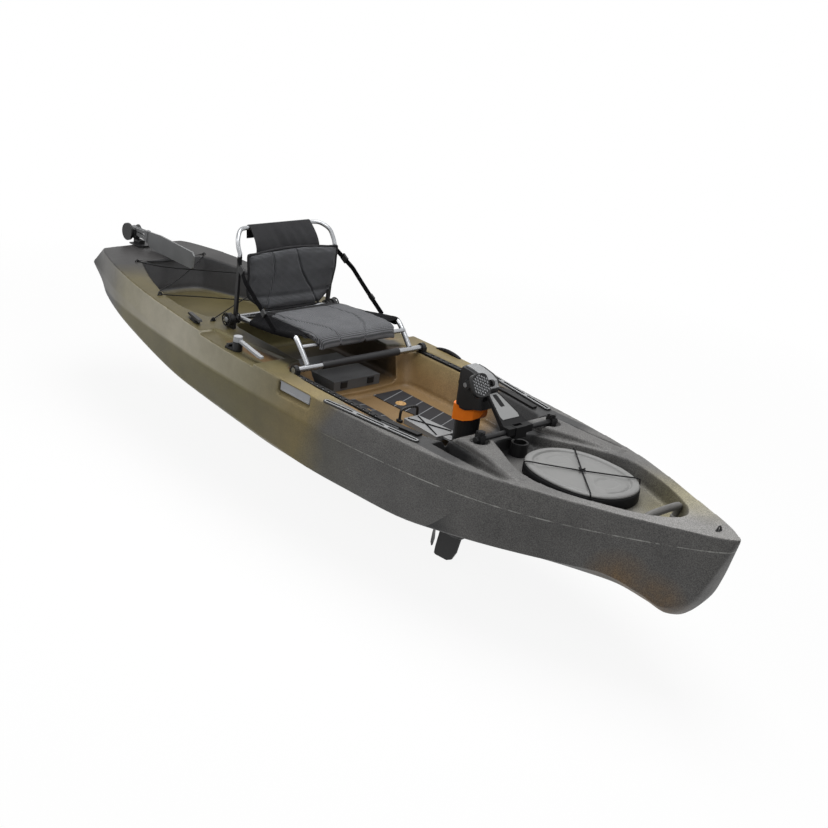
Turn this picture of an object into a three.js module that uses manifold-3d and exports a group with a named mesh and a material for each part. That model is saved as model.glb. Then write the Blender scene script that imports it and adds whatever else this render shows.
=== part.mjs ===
import * as THREE from 'three';
import { mergeVertices } from 'three/addons/utils/BufferGeometryUtils.js';
import Module from 'manifold-3d';

// A sit-on-top pedal kayak in millimetres. +X is the bow, +Y is port, +Z is up.
// The origin lies amidships on the flat bottom.

const wasm = await Module();
wasm.setup();

// Driving dimensions of the boat
const bowReach = 1830;
const halfBeam = 450;
const hullDepth = 350;
const hullWall = 5;
const seatGap = 0.3;
const overrun = 60;
const farOut = 5 * overrun;
const roundSides = 24;
const smallSides = 12;
const cordSides = 6;
const ringSteps = 2;
const sharedCorner = 1e-4;

// Places are tabled for this reach, beam and depth, and stretch with the driving dimensions
const tabled = { reach: 1830, beam: 450, depth: 350 };
const stretch = { x: bowReach / tabled.reach, y: halfBeam / tabled.beam, z: hullDepth / tabled.depth };

const finishes = {
  hull: [0x5d5a45, 0.75, 0],
  blackPlastic: [0x17181a, 0.5, 0],
  greyPlastic: [0x6d7073, 0.5, 0],
  orange: [0xf2701a, 0.45, 0],
  aluminium: [0xc9ccce, 0.3, 1],
  steel: [0x8d9094, 0.3, 1],
  mesh: [0x2c2d2f, 0.85, 0],
  rubber: [0x101112, 0.8, 0],
  cord: [0x0c0c0d, 0.9, 0],
};
const sides = { starboard: -1, port: 1 };
const boat = new THREE.Group();

// Stretched places: a plan outline of x and y, a side outline of x and z, and points in space
function inPlan(points) {
  return points.map(([x, y]) => [x * stretch.x, y * stretch.y]);
}

function fromSide(points) {
  return points.map(([x, z]) => [x * stretch.x, z * stretch.z]);
}

function inSpace(points) {
  return points.map(([x, y, z]) => [x * stretch.x, y * stretch.y, z * stretch.z]);
}

// Solids and how they are joined and cut

function solidOf(geometry) {
  const clean = geometry.index ? geometry.toNonIndexed() : geometry.clone();
  for (const name of Object.keys(clean.attributes)) {
    if (name !== 'position') clean.deleteAttribute(name);
  }
  const merged = mergeVertices(clean, sharedCorner);
  return new wasm.Manifold(new wasm.Mesh({
    numProp: 3,
    vertProperties: new Float32Array(merged.attributes.position.array),
    triVerts: new Uint32Array(merged.index.array),
  }));
}

function joined(...solids) {
  return solids.reduce((a, b) => a.add(b));
}

function cut(solid, ...tools) {
  return tools.reduce((a, b) => a.subtract(b), solid);
}

function addPart(name, solid, finish) {
  const mesh = solid.getMesh();
  const geometry = new THREE.BufferGeometry();
  geometry.setAttribute('position', new THREE.BufferAttribute(mesh.vertProperties, mesh.numProp));
  geometry.setIndex(new THREE.BufferAttribute(mesh.triVerts, 1));
  geometry.computeVertexNormals();
  const [color, roughness, metalness] = finishes[finish];
  const part = new THREE.Mesh(geometry, new THREE.MeshStandardMaterial({ color, roughness, metalness }));
  part.name = name;
  boat.add(part);
}

function block(x0, x1, y0, y1, z0, z1) {
  const geometry = new THREE.BoxGeometry(x1 - x0, y1 - y0, z1 - z0);
  geometry.translate((x0 + x1) / 2, (y0 + y1) / 2, (z0 + z1) / 2);
  return solidOf(geometry);
}

function shapeOf(points) {
  return new THREE.Shape(points.map(([a, b]) => new THREE.Vector2(a, b)));
}

// An outline seen from above, from one height to another
function slab(points, z0, z1) {
  const geometry = new THREE.ExtrudeGeometry(shapeOf(points), { depth: z1 - z0, bevelEnabled: false });
  geometry.translate(0, 0, z0);
  return solidOf(geometry);
}

// A side outline of x and z, from one y to another
function profile(points, y0, y1) {
  const geometry = new THREE.ExtrudeGeometry(shapeOf(points), { depth: y1 - y0, bevelEnabled: false });
  geometry.rotateX(Math.PI / 2);
  geometry.translate(0, y1, 0);
  return solidOf(geometry);
}

function turned(points, count = roundSides) {
  return solidOf(new THREE.LatheGeometry(points.map(([r, h]) => new THREE.Vector2(r, h)), count));
}

// Round solids along each axis: radius, place, then start and end on that axis
function upright(radius, x, y, z0, z1, count = roundSides) {
  return turned([[0, z0], [radius, z0], [radius, z1], [0, z1]], count).rotate([90, 0, 0]).translate([x, y, 0]);
}

function crosswise(radius, x, z, y0, y1, count = roundSides) {
  return turned([[0, y0], [radius, y0], [radius, y1], [0, y1]], count).translate([x, 0, z]);
}

function lengthwise(radius, y, z, x0, x1, count = roundSides) {
  return turned([[0, -x1], [radius, -x1], [radius, -x0], [0, -x0]], count)
    .rotate([0, 0, 90]).translate([0, y, z]);
}

// Radius of a bore with flats, wide enough for a round bar to turn in it
function boreRadius(radius, count) {
  return (radius + seatGap) / Math.cos(Math.PI / count);
}

function tube(points, radius, count, steps) {
  const looseness = 0.3;
  const spots = points.map((p) => new THREE.Vector3(...p));
  const curve = new THREE.CatmullRomCurve3(spots, false, 'catmullrom', looseness);
  const ring = ellipse(0, radius, radius, count);
  return solidOf(new THREE.ExtrudeGeometry(shapeOf(ring), { steps, extrudePath: curve, bevelEnabled: false }));
}

// A closed skin over rings that all have as many points, each end closed to its middle
function loft(rings) {
  const count = rings[0].length;
  const spots = rings.flat().map((p) => [...p]);
  const faces = [];
  for (let i = 0; i < rings.length - 1; i += 1) {
    for (let j = 0; j < count; j += 1) {
      const a = i * count + j;
      const b = i * count + ((j + 1) % count);
      faces.push([a, b, b + count], [a, b + count, a + count]);
    }
  }
  for (const [row, flip] of [[0, true], [rings.length - 1, false]]) {
    const middle = spots.length;
    spots.push([0, 1, 2].map((k) => rings[row].reduce((sum, p) => sum + p[k], 0) / count));
    for (let j = 0; j < count; j += 1) {
      const a = row * count + j;
      const b = row * count + ((j + 1) % count);
      faces.push(flip ? [b, a, middle] : [a, b, middle]);
    }
  }
  const geometry = new THREE.BufferGeometry();
  geometry.setAttribute('position', new THREE.Float32BufferAttribute(faces.flat().flatMap((i) => spots[i]), 3));
  const solid = solidOf(geometry);
  return solid.volume() > 0 ? solid : loft(rings.map((ring) => [...ring].reverse()));
}

function mirrorHalf(points) {
  const other = points.filter(([, y]) => y > 0).map(([x, y]) => [x, -y]).reverse();
  return [...points, ...other];
}

function onSide(solid, side) {
  return side > 0 ? solid : solid.mirror([0, 1, 0]);
}

// Moves an outline outwards by a distance
function grown(points, distance) {
  const centre = [0, 1].map((k) => points.reduce((sum, p) => sum + p[k], 0) / points.length);
  return points.map((p, i) => {
    const before = points[(i + points.length - 1) % points.length];
    const after = points[(i + 1) % points.length];
    const along = new THREE.Vector2(after[0] - before[0], after[1] - before[1]).normalize();
    let out = new THREE.Vector2(along.y, -along.x);
    if (out.x * (p[0] - centre[0]) + out.y * (p[1] - centre[1]) < 0) out = out.negate();
    return [p[0] + out.x * distance, p[1] + out.y * distance];
  });
}

// A hollow with sloping walls between a top outline and a bottom outline
function basin(topPoints, bottomPoints, zTop, zBottom, extra = 0) {
  const top = grown(topPoints, extra).map(([x, y]) => [x, y, zTop]);
  const bottom = grown(bottomPoints, extra).map(([x, y]) => [x, y, zBottom - extra]);
  return loft([bottom, top]);
}

function ellipse(x, halfLong, halfWide, count = roundSides) {
  const points = [];
  for (let i = 0; i < count; i += 1) {
    const angle = (2 * Math.PI * i) / count;
    points.push([x + halfLong * Math.cos(angle), halfWide * Math.sin(angle)]);
  }
  return points;
}

// An oval in plan between two places along the boat
function oval(x0, x1, half, extra = 0, count = roundSides) {
  return ellipse((x0 + x1) / 2, (x1 - x0) / 2 + extra, half + extra, count);
}

// An outline with straight flanks and round ends
function stadium(halfLong, halfWide, steps = 6) {
  const points = [];
  const reach = halfLong - halfWide;
  for (const [side, start] of [[1, -Math.PI / 2], [-1, Math.PI / 2]]) {
    for (let i = 0; i <= steps; i += 1) {
      const angle = start + (Math.PI * i) / steps;
      points.push([side * reach + halfWide * Math.cos(angle), halfWide * Math.sin(angle)]);
    }
  }
  return points;
}

// A rectangle with its corners cut off
function chamfered(halfA, halfB, corner) {
  const [a, b] = [halfA - corner, halfB - corner];
  return [[halfA, -b], [halfA, b], [a, halfB], [-a, halfB], [-halfA, b], [-halfA, -b], [-a, -halfB], [a, -halfB]];
}

// Hull sections, from the stern to the bow. Station is a share of the bow's reach, widths of the half beam,
// heights of the hull depth: station, gunwale width and height, crease width and height, bilge height,
// height at eight tenths of the width, and keel height.
const sectionShares = [
  [-0.968, 0.493, 1.154, 0.542, 0.92, 0.585, 0.451, 0.343],
  [-0.929, 0.584, 1.154, 0.604, 0.874, 0.577, 0.429, 0.3],
  [-0.82, 0.724, 1.14, 0.744, 0.851, 0.506, 0.36, 0.2],
  [-0.71, 0.804, 1.103, 0.822, 0.817, 0.423, 0.271, 0.114],
  [-0.601, 0.858, 1.071, 0.876, 0.749, 0.32, 0.183, 0.051],
  [-0.492, 0.898, 1.051, 0.916, 0.686, 0.24, 0.109, 0.011],
  [-0.355, 0.951, 1.029, 0.969, 0.657, 0.206, 0.08, 0],
  [-0.219, 0.98, 1.017, 0.998, 0.646, 0.171, 0.04, 0],
  [-0.082, 0.996, 1.006, 1.013, 0.646, 0.131, 0, 0],
  [0.055, 0.993, 0.994, 1.011, 0.634, 0.086, 0, 0],
  [0.191, 0.964, 0.977, 0.982, 0.629, 0.074, 0, 0],
  [0.328, 0.927, 0.966, 0.944, 0.643, 0.074, 0, 0],
  [0.437, 0.882, 0.963, 0.9, 0.663, 0.137, 0.069, 0],
  [0.546, 0.8, 0.977, 0.816, 0.691, 0.206, 0.146, 0.011],
  [0.628, 0.707, 1, 0.722, 0.72, 0.254, 0.206, 0.023],
  [0.71, 0.591, 1.011, 0.604, 0.751, 0.303, 0.263, 0.034],
  [0.792, 0.451, 1.02, 0.464, 0.789, 0.334, 0.294, 0.051],
  [0.858, 0.333, 1.031, 0.344, 0.82, 0.251, 0.206, 0.023],
  [0.903, 0.249, 1.043, 0.258, 0.846, 0.177, 0.137, 0.003],
  [0.947, 0.164, 1.051, 0.171, 0.871, 0.343, 0.291, 0.226],
  [0.969, 0.116, 1.054, 0.118, 0.891, 0.571, 0.537, 0.503],
  [0.988, 0.058, 1.057, 0.06, 0.971, 0.857, 0.84, 0.823],
  [1, 0.018, 1.06, 0.018, 1.046, 1.034, 1.031, 1.029],
];
const ringWidthShares = { low: 0.5, mid: 0.8, bilge: 0.94 };
const lowRiseShare = 0.45;
const solidBowRows = 3;
const stern = {
  dip: 10,
  dipStart: -1500 * stretch.x,
  bulge: 22,
  rake: { keel: 30, low: 30, mid: 22, bilge: 12, crease: -59, gunwale: 0, deck: -40 },
  middleShare: 0.25,
};

function sectionRing(row, inset) {
  const [along, gunWide, gunHigh, creaseWide, creaseHigh, bilgeHigh, midHigh, keelHigh] = row;
  const x = along * bowReach;
  const wide = gunWide * halfBeam - inset;
  const crease = creaseWide * halfBeam - inset;
  const keel = keelHigh * hullDepth + inset;
  const mid = midHigh * hullDepth + inset;
  const top = gunHigh * hullDepth - inset;
  const dip = x < stern.dipStart ? stern.dip : 0;
  return {
    keel: [x, 0, keel],
    low: [x, wide * ringWidthShares.low, keel + (mid - keel) * lowRiseShare],
    mid: [x, wide * ringWidthShares.mid, mid],
    bilge: [x, wide * ringWidthShares.bilge, bilgeHigh * hullDepth + inset / 2],
    crease: [x, crease, creaseHigh * hullDepth],
    gunwale: [x, wide, top],
    deck: [x, 0, top - dip],
  };
}

function fullRing(half) {
  const port = [half.low, half.mid, half.bilge, half.crease, half.gunwale];
  const starboard = port.map(([x, y, z]) => [x, -y, z]).reverse();
  return [half.keel, ...port, half.deck, ...starboard];
}

// The raked transom: the last ring leans, and a smaller ring behind it rounds the stern
function addTransom(rings) {
  const last = rings[0];
  for (const name of Object.keys(stern.rake)) last[name][0] += stern.rake[name];
  const middleHigh = (last.keel[2] + last.deck[2]) / 2;
  const middle = {};
  for (const name of Object.keys(last)) {
    const [x, y, z] = last[name];
    const reach = last.crease[0] + (x - last.crease[0]) * stern.middleShare - stern.bulge;
    middle[name] = [reach, y / 2, (z + middleHigh) / 2];
  }
  rings.unshift(middle);
}

function hullBody(inset) {
  const rows = inset ? sectionShares.slice(0, -solidBowRows) : sectionShares;
  const lines = Object.keys(stern.rake).map((name) => {
    const points = rows.map((row) => new THREE.Vector3(...sectionRing(row, inset)[name]));
    return [name, new THREE.CatmullRomCurve3(points, false, 'catmullrom')];
  });
  const rings = [];
  const count = (rows.length - 1) * (inset ? 1 : ringSteps);
  for (let i = 0; i <= count; i += 1) {
    const half = {};
    for (const [name, line] of lines) {
      const spot = line.getPoint(i / count);
      half[name] = [spot.x, Math.max(spot.y, 0), Math.max(spot.z, inset)];
    }
    rings.push(half);
  }
  if (!inset) addTransom(rings);
  return loft(rings.map(fullRing));
}

// Half width and height of the gunwale at a place along the boat
function gunwaleAt(x) {
  const share = THREE.MathUtils.clamp(x / bowReach, sectionShares[0][0], 1);
  const after = Math.max(sectionShares.findIndex((row) => row[0] >= share), 1);
  const [a, b] = [sectionShares[after - 1], sectionShares[after]];
  const between = (share - a[0]) / (b[0] - a[0]);
  return [(a[1] + (b[1] - a[1]) * between) * halfBeam, (a[2] + (b[2] - a[2]) * between) * hullDepth];
}

function gunwaleWidth(x) {
  return gunwaleAt(x)[0];
}

function gunwaleHeight(x) {
  return gunwaleAt(x)[1];
}

function deckHeight(x, y) {
  const dip = x < stern.dipStart ? stern.dip * (1 - Math.abs(y) / gunwaleWidth(x)) : 0;
  return gunwaleHeight(x) - dip;
}

// Axes of the drive
const pivot = { x: 802 * stretch.x, z: 377 * stretch.z, barRadius: 11, barHalf: 224 * stretch.y, mountHalf: 197 * stretch.y };
const crank = { x: 565 * stretch.x, z: 485 * stretch.z, length: 135, lean: 22 };

// Floors and wells of the hull
const floors = {
  foot: 200 * stretch.z,
  tray: 226 * stretch.z,
  bow: 285 * stretch.z,
  tank: 235 * stretch.z,
  ledge: 338 * stretch.z,
  top: 460 * stretch.z,
};
const footRise = 4;
const aboveAll = 2 * floors.top;

const footTop = mirrorHalf(inPlan([[-80, 0], [-150, 250], [-140, 325], [-60, 337], [400, 330], [600, 300],
  [692, 285], [706, 150], [716, 122], [764, 112], [764, 0]]));
const footBottom = mirrorHalf(inPlan([[-60, 0], [-80, 225], [-70, 262], [0, 280], [400, 258], [560, 232],
  [650, 205], [684, 132], [700, 110], [750, 100], [750, 0]]));
const seatTop = mirrorHalf(inPlan([[-690, 0], [-690, 222], [-662, 250], [-300, 250], [-60, 250], [-60, 0]]));
const seatBottom = mirrorHalf(inPlan([[-672, 0], [-672, 205], [-650, 228], [-300, 232], [-60, 232], [-60, 0]]));
const tankTop = mirrorHalf(inPlan([[-1552, 0], [-1545, 168], [-1470, 205], [-1300, 270], [-1106, 322],
  [-951, 336], [-800, 312], [-775, 270], [-772, 0]]));
const tankBottom = mirrorHalf(inPlan([[-1500, 0], [-1492, 140], [-1420, 180], [-1280, 244], [-1100, 296],
  [-955, 308], [-830, 285], [-808, 250], [-804, 0]]));
const bowTop = mirrorHalf(inPlan([[762, 0], [762, 112], [820, 134], [900, 178], [1000, 222], [1100, 250],
  [1200, 250], [1300, 222], [1400, 182], [1500, 137], [1590, 82], [1640, 26], [1640, 0]]));
const bowBottom = mirrorHalf(inPlan([[790, 0], [790, 96], [835, 112], [905, 152], [1003, 200], [1100, 230],
  [1198, 231], [1290, 205], [1384, 168], [1470, 126], [1540, 76], [1570, 24], [1570, 0]]));
const ledgeOutline = mirrorHalf(inPlan([[-215, 0], [-215, 282], [-140, 372], [420, 366], [600, 335], [690, 326],
  [690, 252], [700, 140], [716, 122], [740, 0]]));
const passage = { aft: -60 * stretch.x, fore: 762 * stretch.x, half: 112 * stretch.y };
const barGroove = { halfLong: 17, halfWide: 235 * stretch.y, drop: 15 };

const trunk = {
  aft: 120 * stretch.x,
  fore: 712 * stretch.x,
  half: 48 * stretch.y,
  roof: floors.foot - 8,
  opening: mirrorHalf(inPlan([[262, 0], [262, 35], [446, 48], [712, 48], [712, 0]])),
};

function trunkSpace(extra) {
  const { aft, fore, half, roof, opening } = trunk;
  const lower = block(aft - extra, fore + extra, -half - extra, half + extra, -overrun, roof + extra);
  return joined(lower, slab(opening, roof - extra, floors.foot + overrun));
}

// The raised humps that carry the crossbar: x, inner and outer half width, height
const humpRows = [[664, 168, 236, 296], [704, 146, 246, 344], [738, 134, 252, 368], [802, 134, 260, 373],
  [900, 178, 268, 368], [1000, 222, 292, 358], [1100, 250, 312, 352]];
const humpShape = { foot: 268 * stretch.z, corner: 6 };
const clampSeat = { radius: 38, z: 354 * stretch.z };

function hump(side) {
  const { foot, corner } = humpShape;
  return loft(humpRows.map(([along, innerHalf, outerHalf, rise]) => {
    const [x, high] = [along * stretch.x, rise * stretch.z];
    const [inner, outer] = [innerHalf * stretch.y, outerHalf * stretch.y];
    return [[x, side * inner, foot], [x, side * inner, high - corner], [x, side * (inner + corner), high],
      [x, side * (outer - corner), high], [x, side * outer, high - corner], [x, side * outer, foot]];
  }));
}

// The trough between a hump and the side deck: x, inner and outer half width, floor height
const troughRows = [[680, 246, 324, 286], [738, 256, 324, 296], [802, 264, 328, 308], [900, 272, 330, 322],
  [1000, 296, 331, 334], [1064, 308, 330, 341]];

function trough(side, extra) {
  return loft(troughRows.map(([along, innerHalf, outerHalf, floor]) => {
    const x = along * stretch.x;
    const inner = side * (innerHalf * stretch.y - extra);
    const outer = side * (outerHalf * stretch.y + extra);
    const low = floor * stretch.z - extra;
    return [[x, inner, low], [x, inner, floors.top], [x, outer, floors.top], [x, outer, low]];
  }));
}

// The low shelf for the steering lever
const steerShelf = { ends: inPlan([[-664, 345], [-255, 286]]), depth: 14 };

function steeringShelf(side, extra) {
  return loft(steerShelf.ends.map(([along, inner], i) => {
    const x = along + (i ? extra : -extra);
    const low = gunwaleHeight(x) - steerShelf.depth - extra;
    const near = side * (inner - extra);
    const far = side * (halfBeam + overrun);
    return [[x, near, low], [x, near, floors.top], [x, far, floors.top], [x, far, low]];
  }));
}

const sideHandle = {
  aft: -82 * stretch.x,
  fore: 118 * stretch.x,
  low: 274 * stretch.z,
  high: 342 * stretch.z,
  depth: 30,
  lipShare: 1.6,
};
const handleWall = gunwaleWidth((sideHandle.aft + sideHandle.fore) / 2) - sideHandle.depth;

function handlePocket(side, extra) {
  const { aft, fore, low, high, depth, lipShare } = sideHandle;
  const inner = side * (handleWall - extra);
  const outer = side * (halfBeam + overrun);
  const lip = side * (handleWall + depth * lipShare);
  return loft([aft - extra, fore + extra].map((x) => [[x, inner, high + extra], [x, outer, high + extra],
    [x, outer, low - extra], [x, lip, low - extra], [x, inner, low + depth - extra]]));
}

function wells(extra) {
  const { halfLong, halfWide, drop } = barGroove;
  const tools = [
    basin(footTop, footBottom, floors.ledge + footRise, floors.foot, extra),
    block(passage.aft, passage.fore, -passage.half, passage.half, floors.ledge, floors.top),
    basin(seatTop, seatBottom, floors.top, floors.tray, extra),
    basin(tankTop, tankBottom, floors.top, floors.tank, extra),
    basin(bowTop, bowBottom, floors.top, floors.bow, extra),
    slab(grown(ledgeOutline, extra), floors.ledge - extra, floors.top),
    trunkSpace(extra),
    block(pivot.x - halfLong - extra, pivot.x + halfLong + extra, -halfWide, halfWide, pivot.z - drop - extra,
      floors.top),
  ];
  for (const side of Object.values(sides)) {
    tools.push(trough(side, extra), steeringShelf(side, extra), handlePocket(side, extra));
  }
  return tools;
}

// Loops on the deck: six beside the tankwell and one on the bow
const eye = { half: 9, rise: 12, lift: 2, wire: 2.4, sides: 8, steps: 12, foot: [7, 13], sink: 4, step: 3, points: 10 };
const tankEyes = inPlan([[-1526, 192], [-1108, 336], [-746, 300]]);
const bowEyeX = 1743 * stretch.x;
const cord = { radius: 2.4, overEye: 7 };

function padEye(x, y) {
  const arch = [];
  for (let i = 0; i <= eye.points; i += 1) {
    const angle = (Math.PI * i) / eye.points;
    arch.push([0, eye.half * Math.cos(angle), eye.lift + eye.rise * Math.sin(angle)]);
  }
  const [footLong, footWide] = eye.foot;
  const foot = block(-footLong, footLong, -footWide, footWide, -eye.sink, eye.step);
  return joined(tube(arch, eye.wire, eye.sides, eye.steps), foot).translate([x, y, deckHeight(x, y)]);
}

const lid = {
  x: 1139 * stretch.x,
  halfLong: 228 * stretch.x,
  halfWide: 174 * stretch.y,
  top: 343 * stretch.z,
  bottom: floors.bow + 0.4,
  plate: 8,
  wall: 4,
  chamfer: [8, 7],
  count: 36,
  panel: { placeShare: 0.52, longShare: 0.2, wideShare: 0.34, depth: 3, count: 20 },
};
const coaming = { height: 26, wall: 6, halfLong: 196 * stretch.x, halfWide: 142 * stretch.y };
const plug = { x: 71 * stretch.x, y: 97 * stretch.y, radius: 23, crownShare: 0.7, sink: 2, rise: 5, crown: 9, top: 10 };

function scupperPlug(side) {
  const { x, y, radius, crownShare, sink, rise, crown, top } = plug;
  const floor = floors.foot;
  return turned([[0, floor - sink], [radius, floor - sink], [radius, floor + rise],
    [radius * crownShare, floor + crown], [0, floor + top]]).rotate([90, 0, 0]).translate([x, side * y, 0]);
}

function hullShell() {
  const { halfLong, halfWide, wall, height } = coaming;
  const outer = joined(hullBody(0), hump(sides.starboard), hump(sides.port));
  const storage = slab(ellipse(lid.x, halfLong, halfWide), floors.bow - overrun, floors.top);
  const rim = slab(ellipse(lid.x, halfLong + wall, halfWide + wall), floors.bow - hullWall, floors.bow + height);
  const pockets = cut(hullBody(hullWall), ...wells(hullWall)).decompose();
  const hollow = pockets.reduce((a, b) => (b.volume() > a.volume() ? b : a));
  const both = Object.values(sides);
  const seats = both.map((side) => upright(clampSeat.radius, pivot.x, side * pivot.mountHalf, clampSeat.z,
    floors.top));
  const eyes = tankEyes.flatMap(([x, y]) => both.map((side) => padEye(x, side * y)));
  const threaded = cut(joined(...eyes), tankBungee(cord.radius + seatGap));
  const moulded = joined(cut(outer, ...wells(0), ...seats), rim);
  return joined(cut(moulded, hollow, storage), ...both.map(scupperPlug), threaded, padEye(bowEyeX, 0));
}

// Deck fittings

const lockPost = { x: 829 * stretch.x, radius: 34, height: 52, cup: 26, cupDepth: 30 };

function lockPostSolid() {
  const { x, radius, height, cup, cupDepth } = lockPost;
  const base = floors.bow + seatGap;
  return cut(upright(radius, x, 0, base, base + height), upright(cup, x, 0, base + height - cupDepth, floors.top));
}

const track = {
  x: 418 * stretch.x,
  y: 398 * stretch.y,
  halfLong: 236 * stretch.x,
  halfWide: 15,
  slot: 4.5,
  thick: 5,
  turn: 8.4,
  slots: 3,
  endShare: 1 / 1.5,
  floorShare: 1 / 3,
};

function gearTrack(side) {
  const { x, y, halfLong, halfWide, slot, thick, turn, slots, endShare, floorShare } = track;
  const [aft, fore] = [gunwaleHeight(x - halfLong), gunwaleHeight(x + halfLong)];
  const fall = THREE.MathUtils.radToDeg(Math.atan2(fore - aft, 2 * halfLong));
  const length = (2 * halfLong) / slots;
  let plate = slab(stadium(halfLong, halfWide), 0, thick);
  for (let i = 0; i < slots; i += 1) {
    const hole = slab(stadium(length / 2 - halfWide * endShare, slot), thick * floorShare, overrun);
    plate = cut(plate, hole.translate([-halfLong + length * i + length / 2, 0, 0]));
  }
  return plate.rotate([0, -fall, 0]).rotate([0, 0, -side * turn])
    .translate([x, side * y, (aft + fore) / 2 + 2 * seatGap]);
}

const rail = {
  aft: -132 * stretch.x,
  bend: 430 * stretch.x,
  fore: 610 * stretch.x,
  inner: 339.5 * stretch.y,
  bendPull: 8,
  forePull: 34 * stretch.y,
  wide: 26,
  thick: 9,
  slots: 16,
  slotShare: 0.2,
  edges: [5, 9],
};

function seatRail(side) {
  const { aft, bend, fore, inner, bendPull, forePull, wide, thick, slots, slotShare, edges } = rail;
  const base = floors.ledge + seatGap;
  const line = [[aft, inner], [bend, inner - bendPull], [fore, inner - forePull]];
  const outline = [...line, ...line.map(([x, y]) => [x, y + wide]).reverse()];
  let solid = slab(outline, base, base + thick);
  const step = (bend - aft) / slots;
  for (let i = 1; i < slots; i += 1) {
    const x = aft + i * step;
    const half = step * slotShare;
    solid = cut(solid, block(x - half, x + half, inner + edges[0], inner + wide - edges[1], base + thick / 2,
      base + overrun));
  }
  return onSide(solid, side);
}

const padOutline = inPlan([[-56, 52], [-58, 208], [300, 196], [470, 176], [470, 66], [190, 64], [120, 52]]);
const footPads = { thick: 3, plugGap: 2 };

function footPad(side) {
  const base = floors.foot + seatGap;
  const hole = upright(plug.radius + footPads.plugGap, plug.x, plug.y, 0, floors.top);
  return onSide(cut(slab(padOutline, base, base + footPads.thick), hole), side);
}

const clamp = { halfLong: 17, halfWide: 13, cap: 6, discInset: 6, disc: 6, sink: 1 };
const clampTop = pivot.z + pivot.barRadius + clamp.cap;

function crossbarClamp(side) {
  const { halfLong, halfWide, discInset, disc, sink } = clamp;
  const y = side * pivot.mountHalf;
  const foot = upright(clampSeat.radius - discInset, pivot.x, y, clampSeat.z + seatGap, clampSeat.z + disc);
  const body = block(pivot.x - halfLong, pivot.x + halfLong, y - halfWide, y + halfWide,
    clampSeat.z + disc - sink, clampTop);
  return cut(joined(foot, body), crosswise(pivot.barRadius + seatGap, pivot.x, pivot.z, -farOut, farOut));
}

const knob = { lobes: 5, lobe: 5.5, reach: 13, lobeHigh: 12, high: 14 };

function clampKnob(side) {
  const base = clampTop + seatGap;
  const y = side * pivot.mountHalf;
  const lobes = [];
  for (let i = 0; i < knob.lobes; i += 1) {
    const angle = (2 * Math.PI * i) / knob.lobes;
    lobes.push(upright(knob.lobe, pivot.x + knob.reach * Math.cos(angle), y + knob.reach * Math.sin(angle), base,
      base + knob.lobeHigh, smallSides));
  }
  return joined(upright(knob.reach, pivot.x, y, base, base + knob.high), ...lobes);
}

const grab = {
  x: 1515 * stretch.x,
  footX: 1497 * stretch.x,
  shoulderX: 1507 * stretch.x,
  half: 104 * stretch.y,
  bendHalf: 82 * stretch.y,
  top: 345 * stretch.z,
  shoulder: 321 * stretch.z,
  crown: 2,
  radius: 12,
  footExtra: 4,
  footHigh: 22,
  count: 10,
  steps: 20,
};

// The room that the well's sloping wall and floor leave the handle
function roomInBowWell() {
  const around = block(grab.x - 2 * overrun, grab.x + 2 * overrun, -halfBeam, halfBeam, 0, floors.top);
  return cut(around, basin(bowTop, bowBottom, floors.top, floors.bow, -seatGap));
}

function bowGrab() {
  const { x, footX, shoulderX, half, bendHalf, top, shoulder, crown, radius, footExtra, footHigh } = grab;
  const foot = floors.bow + radius / 2;
  const line = [[footX, half, foot], [shoulderX, half, shoulder], [x, bendHalf, top]];
  const mirrored = line.map(([a, b, c]) => [a, -b, c]);
  const arch = tube([...mirrored, [x, 0, top + crown], ...line.reverse()], radius, grab.count, grab.steps);
  const feet = Object.values(sides).map((side) => upright(radius + footExtra, footX, side * (half + seatGap),
    floors.bow + seatGap, floors.bow + footHigh, smallSides));
  return cut(joined(arch, ...feet), roomInBowWell());
}

const cleat = {
  x: -771 * stretch.x,
  y: -378 * stretch.y,
  half: 62,
  high: 22,
  halfWide: 9,
  turn: -12,
  plate: [40, 14, 4],
  horn: [6, 14, 8, 12],
  neck: [20, 10],
};

function deckCleat() {
  const { x, y, half, high, halfWide, turn, plate, horn, neck } = cleat;
  const [tipIn, tipLow, underIn, underHigh] = horn;
  const [neckHalf, neckHigh] = neck;
  const port = [[half, tipLow], [half - underIn, underHigh], [neckHalf, neckHigh], [neckHalf, 0]];
  const starboard = port.map(([a, b]) => [-a, b]).reverse();
  const horns = profile([[-half + tipIn, high], [half - tipIn, high], ...port, ...starboard], -halfWide, halfWide);
  return joined(horns, slab(stadium(plate[0], plate[1]), 0, plate[2])).rotate([0, 0, turn])
    .translate([x, y, gunwaleHeight(x - half) - 2 * seatGap]);
}

// Steering lever on the starboard side deck
const steer = {
  x: -431 * stretch.x,
  y: -398 * stretch.y,
  baseRadius: 22,
  baseHigh: 40,
  hubInset: 2,
  leverThick: 11,
  armThick: 10,
  armHalf: 9,
  armBend: 26,
  tipX: -262 * stretch.x,
  tipZ: 366 * stretch.z,
  tip: { long: 20, under: 4, over: 5, step: 7 },
  knobRadius: 19,
  knobHigh: 11,
  plate: [[-52, -26], [-52, 12], [0, 22], [24, 0], [0, -22]],
  plateThick: 9,
  barrel: { aft: 38, up: 15, radius: 8, y0: 24, y1: 8 },
};
const steerBase = gunwaleHeight(steer.x - overrun) - steerShelf.depth + seatGap;
const leverBase = steerBase + steer.baseHigh + seatGap;

function steeringBase() {
  const { x, y, baseRadius, baseHigh, plate, plateThick, barrel } = steer;
  return joined(upright(baseRadius, x, y, steerBase, steerBase + baseHigh),
    slab(plate.map(([a, b]) => [x + a, y + b]), steerBase, steerBase + plateThick),
    crosswise(barrel.radius, x - barrel.aft, steerBase + barrel.up, y - barrel.y0, y + barrel.y1, smallSides));
}

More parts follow.
